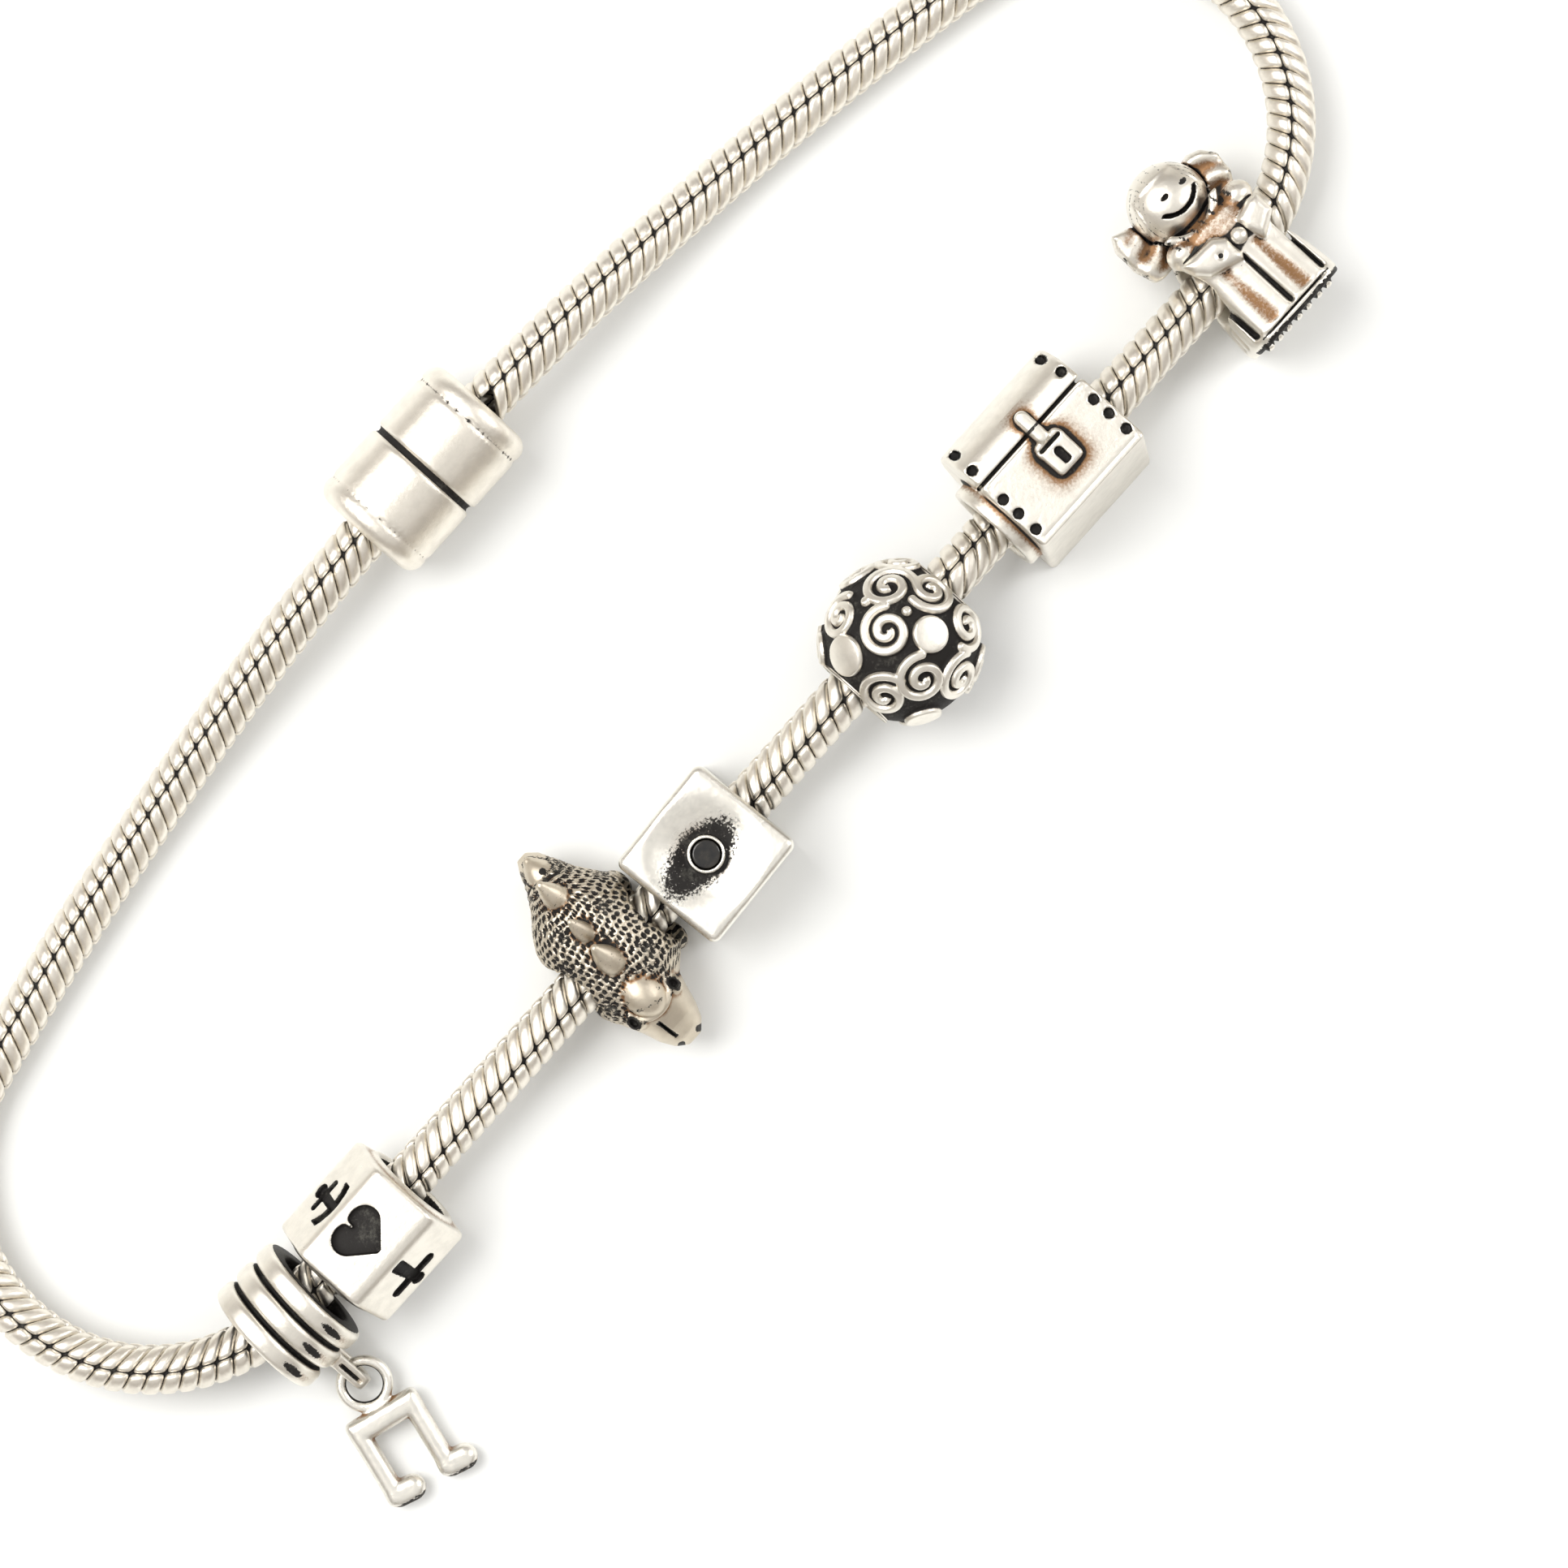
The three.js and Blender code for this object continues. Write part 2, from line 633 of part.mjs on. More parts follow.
function treasureChest() {
  const back = -chestDepth / 2;
  const front = chestDepth / 2;
  const bottom = seamHeight - chestBody;
  const outline = new THREE.Shape();
  outline.moveTo(back + 0.3, bottom - chestFlare);
  outline.lineTo(back, bottom - chestFlare + 0.3);
  outline.lineTo(back, seamHeight);
  outline.absellipse(0, seamHeight, chestDepth / 2, chestLid, Math.PI, 0, true);
  outline.lineTo(front, bottom + 0.3);
  outline.lineTo(front - 0.3, bottom);
  // The outline's X is the chest's depth, so it turns to stand along Z
  const box = plate(outline, chestWidth, 0.25, 16);
  const basis = new THREE.Matrix4().makeBasis(
    new THREE.Vector3(0, 0, 1),
    new THREE.Vector3(0, 1, 0),
    new THREE.Vector3(-1, 0, 0),
  );
  let body = solid(box.applyMatrix4(basis));
  const seamCut = new THREE.BoxGeometry(chestWidth + 2, seamWidth, chestDepth + 2);
  const innerWidth = chestWidth - 2 * seamDepth;
  const keep = new THREE.BoxGeometry(innerWidth, 4 * seamWidth, chestDepth - 2 * seamDepth);
  const groove = solid(seamCut).subtract(solid(keep));
  body = body.subtract(groove.translate([0, seamHeight, 0]));
  const collar = rod(collarDiameter, chestWidth + 2 * collarLength);
  body = body.add(solid(collar));
  const addToFront = (width, height, middle, sink) => {
    const outlineOf = barShape(-width / 2, -height / 2, width / 2, height / 2);
    const raised = plate(outlineOf, 2 * lockProud, 0.2).translate(0, middle, front - sink);
    body = body.add(solid(raised));
  };
  addToFront(lockWidth, lockHeight, lockMiddle, 0);
  addToFront(haspWidth, haspHeight, haspMiddle, 0.1);
  return bored(body, chestWidth + 2 * collarLength + 2);
}

function angel() {
  const base = -boreHeights.angel;
  // From the neck to the hem: along, middle, half width, bottom, top
  const sections = [
    [0.45, 0.0, 0.2, 0.2, 0.8],
    [0.36, 0.0, 0.36, 0.08, 0.92],
    [0.24, 0.0, 0.43, 0.02, 0.98],
    [0.1, 0.0, 0.44, 0.0, 1.0],
    [-0.06, 0.0, 0.43, 0.0, 1.0],
    [-0.2, -0.01, 0.45, 0.0, 1.0],
    [-0.4, -0.02, 0.48, 0.0, 1.0],
    [-0.58, -0.02, 0.5, 0.0, 1.0],
    [-0.66, -0.02, 0.49, 0.03, 0.97],
  ];
  let body = lofted(sections, angelDressHeight, angelDressWidth, angelDepth, 32, 3);
  const middle = angelDepth / 2;
  body = body.add(solid(ball(headDiameter, headAside, headReach, middle + 0.25)));
  const wing = new THREE.Shape();
  wing.moveTo(0, 0.6);
  wing.bezierCurveTo(wingSpan * 0.3, 1.5, wingSpan * 0.5, 2.6, wingSpan * 0.5, 5.2);
  wing.bezierCurveTo(wingSpan * 0.4, 6.6, wingSpan * 0.15, 5.2, 0, 4.2);
  for (const side of [1, -1]) {
    const half = plate(wing, wingThickness, 0.3);
    const joined = solid(half.translate(0, 0, middle - 0.9)).scale([side, 1, 1]);
    body = body.add(joined);
    const sleeve = ball(sleeveDiameter, side * sleeveAside, sleeveReach, angelDepth - 0.7, [1.05, 1, 0.75]);
    body = body.add(solid(sleeve));
  }
  body = body.add(solid(ball(handsDiameter, 0.45, 0.8, angelDepth + 0.35)));
  body = body.translate([0, 0, base]);
  return bored(body, angelDressWidth + 4);
}

const bracelet = new THREE.Group();
bracelet.name = "charm_bracelet";

function addPiece(name, shape, material, place = {}) {
  const geometry = shape.isBufferGeometry ? shape : geometryOf(shape);
  const mesh = new THREE.Mesh(geometry, material);
  mesh.name = name;
  mesh.position.set(place.x ?? 0, place.y ?? 0, place.z ?? 0);
  mesh.rotation.set(place.tilt ?? 0, 0, place.turn ?? 0);
  bracelet.add(mesh);
  return mesh;
}

function threadCharm(name, shape, material, holder = name) {
  const { along, across, turn } = places[holder];
  const place = { x: along, y: across, z: boreHeights[holder] };
  return addPiece(name, shape, material, { ...place, turn: turn * THREE.MathUtils.DEG2RAD });
}

addPiece("snake_chain", snakeChain(), silver("chain silver", 0xe2ded6));
addPiece("barrel_clasp", barrelClasp(), silver("clasp silver"), {
  x: runMiddle,
  y: returnCentreY + returnRadius,
  z: claspHeight,
});
threadCharm("ridged_bead", ridgedBead(), silver("ridged bead silver", 0xcfc8ba));
const hanging = notePlace(places.ridged_bead);
const note = addPiece("music_note", musicNote(), silver("note silver"), hanging);
note.rotation.set(hanging.tilt, 0, noteTurn, "XYZ");
threadCharm("hexagonal_drum", hexagonalDrum(), silver("drum silver"));
threadCharm("dinosaur", dinosaur(), silver("dinosaur silver", 0xa89f8e));
threadCharm("dished_cube", dishedCube(), silver("cube silver"));
const stone = new THREE.MeshStandardMaterial({ name: "dark stone", color: 0x17151a, roughness: 0.15 });
threadCharm("cube_stone", cubeStone(), stone, "dished_cube");
threadCharm("scroll_ball", scrollBall(), silver("ball silver", 0xb9b3a7));
threadCharm("treasure_chest", treasureChest(), silver("chest silver"));
threadCharm("angel", angel(), silver("angel silver"));

// The origin is under the middle of the whole bracelet, on the surface it lies on
const bounds = new THREE.Box3().setFromObject(bracelet, true);
const centre = bounds.getCenter(new THREE.Vector3());
const origin = new THREE.Group();
bracelet.position.set(-centre.x, -centre.y, -bounds.min.z);
origin.add(bracelet);

export default origin;
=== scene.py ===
import math
import bpy
import numpy as np
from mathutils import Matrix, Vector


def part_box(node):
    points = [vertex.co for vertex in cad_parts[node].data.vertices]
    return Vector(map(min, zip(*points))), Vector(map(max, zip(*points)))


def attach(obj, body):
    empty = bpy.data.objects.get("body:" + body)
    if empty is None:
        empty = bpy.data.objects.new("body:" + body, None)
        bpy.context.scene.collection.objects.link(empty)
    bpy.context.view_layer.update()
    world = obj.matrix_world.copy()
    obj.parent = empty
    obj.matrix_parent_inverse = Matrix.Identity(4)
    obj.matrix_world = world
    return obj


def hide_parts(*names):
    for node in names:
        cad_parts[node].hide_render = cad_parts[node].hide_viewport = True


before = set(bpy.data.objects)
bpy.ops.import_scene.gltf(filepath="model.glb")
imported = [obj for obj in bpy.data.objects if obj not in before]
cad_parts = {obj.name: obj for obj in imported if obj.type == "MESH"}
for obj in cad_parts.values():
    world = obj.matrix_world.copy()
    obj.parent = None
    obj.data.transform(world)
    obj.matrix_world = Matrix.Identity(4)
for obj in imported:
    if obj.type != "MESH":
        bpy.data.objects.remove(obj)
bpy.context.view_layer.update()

import openvdb
from mathutils import Matrix, Vector

# Snake chain: silver scales in four rows round a core, every row's joints slanting the same way,
# with black oxide left in the joints. It is one closed strand whose ends go into the clasp.
MM = 0.001
chain_radius = 1.45
run_length = 80.0
run_middle = -0.4
turn_radius = 11.0
turn_angle = math.radians(168)
scale_pitch = 0.97
clasp_radius = 3.6
clasp_half = 5.0
clasp_socket = 3.3

chain_low, chain_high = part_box("snake_chain")
frame_x = (chain_low.x + chain_high.x) / 2 / MM - run_middle
frame_y = chain_low.y / MM + chain_radius

# Where the chain is level inside a charm: from, to, height
level_stretches = [
    (-43.56, -38.34, 3.2),
    (-37.9, -30.7, 3.24),
    (-17.3, -9.5, 3.16),
    (-9.7, -1.9, 3.15),
    (5.9, 14.6, 4.35),
    (18.4, 28.2, 3.36),
    (34.4, 42.4, 2.96),
]
table_height = chain_radius
level_past_clasp = 0.3
clasp_ramp_share = 0.55

half_run = run_length / 2
return_angle = math.pi - turn_angle
return_radius = half_run / math.sin(turn_angle) + turn_radius
return_centre = turn_radius - half_run / math.tan(return_angle)
half_return = return_radius * return_angle
turn_length = turn_radius * turn_angle
half_loop = half_return + turn_length + half_run


def smooth(share):
    share = np.clip(share, 0.0, 1.0)
    return share * share * (3 - 2 * share)


def strand_plan(way):
    """The plan of the loop at distances from the middle of the return strand."""
    side = np.where(way < 0, -1.0, 1.0)
    way = np.abs(way)
    on_return = way / return_radius
    on_turn = return_angle + (way - half_return) / turn_radius
    straight = half_run - (way - half_return - turn_length)
    returning = way <= half_return
    turning = way <= half_return + turn_length
    x = np.where(turning, half_run + turn_radius * np.sin(on_turn), straight)
    x = np.where(returning, return_radius * np.sin(on_return), x)
    y = np.where(turning, turn_radius + turn_radius * np.cos(on_turn), 0.0)
    y = np.where(returning, return_centre + return_radius * np.cos(on_return), y)
    return -side * x + run_middle, y


def strand_height(way, x, y):
    way = np.abs(way)
    stops = [value for start, end, _ in level_stretches for value in (start, end)]
    heights = [height for _, _, height in level_stretches for _ in range(2)]
    knot = np.clip(np.searchsorted(stops, x) - 1, 0, len(stops) - 2)
    starts, ends = np.array(stops)[knot], np.array(stops)[knot + 1]
    low, high = np.array(heights)[knot], np.array(heights)[knot + 1]
    share = np.where(ends > starts, (x - starts) / np.maximum(ends - starts, 1e-6), 0)
    on_run = low + (high - low) * smooth(share)
    edge = np.where(x < 0, stops[0], stops[-1])
    edge_way = half_loop - np.abs(edge - run_middle)
    share = np.clip((edge_way - way) / turn_length, 0, 1)
    edge_height = np.where(x < 0, heights[0], heights[-1])
    beyond = edge_height + (table_height - edge_height) * smooth(share)
    height = np.where((y < turn_radius / 2) & (x >= stops[0]) & (x <= stops[-1]), on_run, beyond)
    ramp = clasp_ramp_share * half_run
    share = smooth((way - clasp_half - level_past_clasp) / ramp)
    near_clasp = clasp_radius + (table_height - clasp_radius) * share
    return np.where(way < clasp_half + level_past_clasp + ramp, near_clasp, height)


# The row boundaries turn a quarter way round under the ball, where the strand is twisted
seam_stops = [-53.0, -47.0, -28.0, -17.0, 5.0, 7.0, 13.8, 16.0, 43.0, 53.0]
seam_angles = [-5.0, -5.0, -21.0, -19.0, -9.0, -9.0, -78.0, -78.0, -85.0, -85.0]
row_rise = (1.3, 0.7)
joint_depth = 0.34
joint_half = 0.03
seam_half = 0.045
scale_corner = 0.26
scale_ease = 0.2
scale_crown = 0.03
scale_inset = 0.06
# Cells left out at the clasp, where the slant would carry the last scales past the strand's end
spare_cells = 3
look_ahead = 0.05


def row_skew(turns):
    """How far a joint has run along the chain, in pitches, at an angle in quarter turns."""
    whole = np.floor(turns / 2)
    rest = turns - 2 * whole
    return 2 * whole + np.where(rest < 1, row_rise[0] * rest, row_rise[0] + row_rise[1] * (rest - 1))


def build_mesh(name, points, faces, marks):
    """A smooth-shaded mesh from points in millimetres, with numbers stored on its points."""
    mesh = bpy.data.meshes.new(name)
    mesh.vertices.add(len(points))
    mesh.vertices.foreach_set("co", (np.asarray(points) * MM).astype(np.float32).ravel())
    loops = np.concatenate([f.ravel() for f in faces]).astype(np.int32)
    sizes = np.concatenate([np.full(len(f), f.shape[1]) for f in faces])
    mesh.loops.add(len(loops))
    mesh.loops.foreach_set("vertex_index", loops)
    mesh.polygons.add(len(sizes))
    starts = (np.cumsum(sizes) - sizes).astype(np.int32)
    mesh.polygons.foreach_set("loop_start", starts)
    mesh.update(calc_edges=True)
    mesh.validate()
    mesh.polygons.foreach_set("use_smooth", np.ones(len(mesh.polygons), bool))
    for mark, values in marks.items():
        layer = mesh.attributes.new(mark, "FLOAT", "POINT")
        layer.data.foreach_set("value", np.asarray(values, np.float32))
    piece = bpy.data.objects.new(name, mesh)
    bpy.context.scene.collection.objects.link(piece)
    return piece


def scaled_strand():
    across_cell = np.array([0.0, 0.04, 0.09, 0.18, 0.37, 0.63, 0.82, 0.91, 0.96])
    along_row = np.array([0.0, 0.032, 0.075, 0.15, 0.34, 0.66, 0.85, 0.925, 0.968])
    start = clasp_half - clasp_socket
    cells = int((2 * half_loop - 2 * start) / scale_pitch) - spare_cells
    cell, share = np.divmod(np.arange(cells * len(across_cell)), len(across_cell))
    station = cell + across_cell[share]
    row, part = np.divmod(np.arange(4 * len(along_row)), len(along_row))
    quarter = row + along_row[part]
    u, f = across_cell[share][:, None], along_row[part][None, :]
    # The strand runs left to right along its straight run, so it starts left of the clasp
    base = start + scale_pitch * (station[:, None] + row_skew(quarter)[None, :] - 1.0)
    way = np.where(base <= half_loop, base, base - 2 * half_loop)
    x, y = strand_plan(way)
    z = strand_height(way, x, y)
    ahead = base + look_ahead
    ahead = np.where(ahead <= half_loop, ahead, ahead - 2 * half_loop)
    x1, y1 = strand_plan(ahead)
    z1 = strand_height(ahead, x1, y1)
    seam = np.where(x < 0, seam_angles[0], seam_angles[-1])
    seam = np.where(y < turn_radius / 2, np.interp(x, seam_stops, seam_angles), seam)
    seam = np.where(y > turn_radius, seam_angles[0], seam)
    angle = np.radians(seam + 90 * quarter[None, :])
    forward = np.stack([x1 - x, y1 - y, z1 - z], -1)
    forward /= np.linalg.norm(forward, axis=-1, keepdims=True)
    side = np.stack([-forward[..., 1], forward[..., 0], 0 * x], -1)
    side /= np.linalg.norm(side, axis=-1, keepdims=True)
    up = np.cross(forward, side)
    # Distance in from the scale's rounded outline
    wide = scale_pitch / 2 - joint_half
    tall = chain_radius * math.pi / 4 - seam_half
    dx = np.abs(u - 0.5) * scale_pitch - (wide - scale_corner)
    dy = np.abs(f - 0.5) * chain_radius * math.pi / 2 - (tall - scale_corner)
    outside = np.hypot(np.maximum(dx, 0), np.maximum(dy, 0)) + np.minimum(np.maximum(dx, dy), 0)
    outside = outside - scale_corner
    rise = np.clip(-outside / scale_ease, 0, 1)
    dip = joint_depth * np.where(outside > 0, 1.0, (1 - rise) ** 2.2 * 0.62)
    crown = scale_crown * (1 - (2 * u - 1) ** 2)
    radius = (chain_radius - scale_inset - dip + crown)[..., None]
    centre = np.stack([x + frame_x, y + frame_y, z], -1)
    points = centre + radius * (np.cos(angle)[..., None] * up + np.sin(angle)[..., None] * side)
    rows, columns = points.shape[:2]
    index = np.arange(rows * columns).reshape(rows, columns)
    around = np.roll(index, -1, axis=1)
    # The last column joins the first one four quarter turns on, which is four pitches along
    shift = int(row_skew(np.array([4.0]))[0]) * len(across_cell)
    around[:-shift, -1] = index[shift:, 0]
    keep = np.ones((rows - 1, columns), bool)
    keep[rows - 1 - shift:, -1] = False
    quads = np.stack([index[:-1], around[:-1], around[1:], index[1:]], -1)[keep]
    hollow = np.clip(dip / joint_depth, 0, 1) ** 1.3
    return points.reshape(-1, 3), quads, hollow.ravel()


chain_points, chain_quads, chain_hollow = scaled_strand()


class Value:
    """One output of a shader node, with arithmetic that adds Math nodes."""

    def __init__(self, tree, socket):
        self.tree = tree
        self.socket = socket

    def math(self, operation, *values):
        return add_node(self.tree, "ShaderNodeMath", {"operation": operation}, values)

    def __add__(self, other):
        return self.math("ADD", self, other)

    def __sub__(self, other):
        return self.math("SUBTRACT", self, other)

    def __rsub__(self, other):
        return self.math("SUBTRACT", other, self)

    def __mul__(self, other):
        return self.math("MULTIPLY", self, other)

    __radd__ = __add__
    __rmul__ = __mul__

    def between(self, low, high):
        settings = {"interpolation_type": "SMOOTHSTEP"}
        return add_node(self.tree, "ShaderNodeMapRange", settings, {0: self, 1: low, 2: high})


def add_node(tree, kind, settings=None, values=(), output=0):
    """Adds a node: its settings first, then what goes into its sockets, by place or name."""
    node = tree.nodes.new(kind)
    for setting, value in (settings or {}).items():
        setattr(node, setting, value)
    pairs = values.items() if isinstance(values, dict) else enumerate(values)
    for socket, value in pairs:
        if isinstance(value, Value):
            tree.links.new(value.socket, node.inputs[socket])
        else:
            node.inputs[socket].default_value = value
    return Value(tree, node.outputs[output])


def mark(tree, name):
    return add_node(tree, "ShaderNodeAttribute", {"attribute_name": name}, output="Fac")


def blend_colours(tree, share, first, second):
    settings = {"data_type": "RGBA", "clamp_factor": True}
    return add_node(tree, "ShaderNodeMix", settings, {0: share, 6: first, 7: second}, output=2)


def noise(tree, size, detail=4.0, roughness=0.6):
    """Noise with lumps of a size in millimetres, fixed to the piece."""
    place = add_node(tree, "ShaderNodeTexCoord", output="Object")
    values = {"Vector": place, "Scale": 1 / (size * MM), "Detail": detail, "Roughness": roughness}
    return add_node(tree, "ShaderNodeTexNoise", {}, values, output="Fac")


# Black oxide and brown tarnish, whose colours also serve for painted shade, painted shadows and painted
# reflections
black_oxide_and_shade = (0.012, 0.010, 0.009, 1)
grey_oxide = (0.085, 0.082, 0.07, 1)
brown_oxide_and_shade = (0.27, 0.15, 0.075, 1)


def oxidised_silver(name, bright, polish=0.3, grime_and_shade=0.5, grain=0.02):
    """Silver with black oxide in its hollows, brown at their rims and fine wear on the rest. The same
    black and brown also lay down the painted shade, painted shadows and painted reflections that
    the hollow, ink and brown marks carry.
    """
    material = bpy.data.materials.new(name)
    material.use_nodes = True
    tree = material.node_tree
    shader = tree.nodes["Principled BSDF"]
    hollow, ink, brown = mark(tree, "hollow"), mark(tree, "ink"), mark(tree, "brown")
    patches = noise(tree, 0.9)
    speckle = noise(tree, 0.16, 3.0)
    # The hollow mark gives black oxide and, on cast pieces, painted shade in broad hollows
    oxide_and_shade = hollow + (speckle - 0.5) * 0.35 + (patches - 0.5) * 0.25
    inked = (ink + (speckle - 0.5) * 1.1).between(0.4, 0.6)
    in_hollows = oxide_and_shade.between(0.45, 0.75)
    black = in_hollows.math("MAXIMUM", in_hollows, inked)
    warm = brown + (hollow - 0.1) * grime_and_shade + (speckle - 0.5) * (brown * 1.1 + 0.12)
    warm = warm.between(0.08, 0.85)
    dull = tuple(0.9 * share for share in bright[:3]) + (1,)
    tone = blend_colours(tree, patches.between(0.35, 0.7), bright, dull)
    tone = blend_colours(tree, warm, tone, brown_oxide_and_shade)
    worn = (patches + speckle * 0.6).between(0.8, 1.15)
    worn_black = blend_colours(tree, worn, black_oxide_and_shade, grey_oxide)
    tone = blend_colours(tree, black, tone, worn_black)
    tree.links.new(tone.socket, shader.inputs["Base Color"])
    tree.links.new((1 - black * 0.55).socket, shader.inputs["Metallic"])
    rough = polish + (patches - 0.5) * 0.12 + warm * 0.2 + black * 0.2
    tree.links.new(rough.socket, shader.inputs["Roughness"])
    scratches = noise(tree, 0.05, 5.0, 0.7) * 0.6 + noise(tree, 0.35, 2.0) * 0.8
    uneven = {"Strength": 1.0, "Distance": grain * MM, "Height": scratches}
    bump = add_node(tree, "ShaderNodeBump", {}, uneven, output="Normal")
    tree.links.new(bump.socket, shader.inputs["Normal"])
    return material


def finish_piece(piece, material, slot, *nodes):
    piece.data.materials.append(material)
    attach(piece, "root")
    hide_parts(*nodes)


chain_silver = oxidised_silver("chain_silver", (0.90, 0.85, 0.76, 1), polish=0.33, grime_and_shade=0.5)
no_mark = np.zeros(len(chain_points))
chain = build_mesh("snake_chain_scales", chain_points, [chain_quads],
                   {"hollow": chain_hollow, "ink": no_mark, "brown": no_mark})
finish_piece(chain, chain_silver, "chain_silver", "snake_chain")

# Clasp: a plain turned silver barrel in two halves that meet at a groove, lined at both ends
# where the chain goes in.
def box_middle(node):
    low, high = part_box(node)
    return (low + high) / 2 / MM


def blurred(field, reach):
    """The field averaged over a cube of about reach each way, in grid steps. The field goes on
    evenly past the grid's sides, so that a face near a side isn't taken for a hollow."""
    inner = tuple(slice(reach, -reach) for _ in range(3))
    field = np.pad(field, reach, mode="reflect", reflect_type="odd")
    for axis in range(3):
        length = field.shape[axis]
        total = np.cumsum(field, axis=axis, dtype=np.float64)
        total = np.concatenate([np.zeros_like(np.take(total, [0], axis)), total], axis)
        last = np.minimum(np.arange(length) + reach + 1, length)
        first = np.maximum(np.arange(length) - reach, 0)
        count = (last - first).reshape([-1 if a == axis else 1 for a in range(3)])
        field = ((np.take(total, last, axis) - np.take(total, first, axis)) / count).astype(np.float32)
    return field[inner]


def sampled(field, places):
    """The field at places given in grid steps, between its grid points."""
    low = np.clip(np.floor(places).astype(int), 0, np.array(field.shape) - 2)
    part = places - low
    total = 0
    for corner in np.ndindex(2, 2, 2):
        weight = np.prod(np.where(corner, part, 1 - part), axis=1)
        total = total + weight * field[tuple((low + corner).T)]
    return total


def facing_out(points, quads):
    """The faces with their corners in the order that turns them outwards."""
    a, b, c = (points[quads[:, k]] for k in range(3))
    inwards = np.einsum("ij,ij->i", a, np.cross(b, c)).sum() < 0
    return (quads[:, ::-1] if inwards else quads).astype(np.int32)


def cast_piece(name, shape, low, high, step, middle, turn=(0, 0, 0), paint=None, reach=0.3):
    """Meshes a distance field given in the piece's own millimetres, about the middle of its bore,
    on a grid from low to high. It stores how hollow each place is, out to a reach, for black oxide,
    with painted shade added from how hollow it is over a wider reach, and what the paint function
    gives: ink for black oxide and brown for its rims, and on some pieces painted shade and
    painted reflections in both."""
    axes = [np.arange(a, b + step, step, dtype=np.float32) for a, b in zip(low, high)]
    x, y, z = np.meshgrid(*axes, indexing="ij", sparse=True)
    field = np.broadcast_to(shape(x, y, z), [len(a) for a in axes]).astype(np.float32)
    grid = openvdb.FloatGrid(1.0)
    grid.copyFromArray(field)
    places, quads = grid.convertToQuads(0.0)
    points = places * step + np.array(low)
    slopes = blurred(field, max(1, round(reach / step)))
    # Painted shade: the wider average darkens broad hollows and keeps brown and black off broad bumps
    broad_shade = blurred(field, max(2, round(2.2 * reach / step)))
    hollow = np.clip(-sampled(slopes, places) / (0.32 * reach), -1, 1)
    hollow += np.clip(-sampled(broad_shade, places) / (0.8 * reach), -0.5, 0.6)
    marks = {"hollow": hollow, "ink": 0 * hollow, "brown": 0 * hollow}
    marks.update(paint(*points.T) if paint else {})
    rotation = np.array(Matrix.Rotation(turn[2], 3, "Z") @ Matrix.Rotation(turn[1], 3, "Y")
                        @ Matrix.Rotation(turn[0], 3, "X"))
    placed = points @ rotation.T + np.array(middle)
    return build_mesh(name, placed, [facing_out(points, quads)], marks)


def box_field(x, y, z, half, edge):
    qx, qy, qz = np.abs(x) - half[0] + edge, np.abs(y) - half[1] + edge, np.abs(z) - half[2] + edge
    outside = np.sqrt(np.maximum(qx, 0) ** 2 + np.maximum(qy, 0) ** 2 + np.maximum(qz, 0) ** 2)
    return outside + np.minimum(np.maximum(np.maximum(qx, qy), qz), 0) - edge


def solid_from_flat(flat, depth, half, edge):
    """A field of a flat outline carried through a depth, with rounded edges."""
    a, b = flat + edge, np.abs(depth) - half + edge
    return np.hypot(np.maximum(a, 0), np.maximum(b, 0)) + np.minimum(np.maximum(a, b), 0) - edge


def join(a, b, blend=0.0):
    """Two fields as one solid, with a fillet of about the blend's size where they meet."""
    if blend == 0:
        return np.minimum(a, b)
    near = np.maximum(blend - np.abs(a - b), 0) / blend
    return np.minimum(a, b) - near * near * blend / 4


def cut(a, b, blend=0.0):
    return -join(-a, b, blend)


clasp_shrink = 0.02
clasp_edge = 0.9
groove_radius = 0.42
rim_line_at = 3.7
rim_line_deep = 0.14
socket_radius = 1.75


def barrel(x, y, z):
    radius = np.hypot(y, z)
    body = solid_from_flat(radius - clasp_radius + clasp_shrink, x, clasp_half - clasp_shrink, clasp_edge)
    groove = np.hypot(x / 0.7, radius - clasp_radius - 0.1) - groove_radius
    rim_lines = np.maximum(np.abs(np.abs(x) - rim_line_at) - 0.12, clasp_radius - rim_line_deep - radius)
    body = cut(body, join(groove, rim_lines, 0.05), 0.12)
    socket = np.maximum(radius - socket_radius, clasp_half - clasp_socket - np.abs(x))
    return cut(body, socket, 0.1)


clasp_at = box_middle("barrel_clasp")
clasp = cast_piece("clasp_barrel", barrel, (-5.4, -4, -4), (5.4, 4, 4), 0.155, clasp_at)
finish_piece(clasp, chain_silver, "chain_silver", "barrel_clasp")

# Ridged bead: one silver casting of three rounded bands on a sleeve, with a flattened loop cast on
# below that holds the drop's ring.
ridged_radius = 3.7
ridge_pitch = 1.52
ridge_half = 0.64
ridge_root = 2.9
sleeve_half = 2.05
sleeve_inset = 0.62
bore_radius = 2.35
loop_dip = math.radians(28)
loop_reach = 1.84
loop_arc = ridged_radius + loop_reach
loop_half = 0.82
loop_wire = 0.27
loop_start = 3.0
loop_thick = 0.44
rest_lift = 0.01


def place_on_run(along, across, height):
    return (along + frame_x, across + frame_y, height + rest_lift)


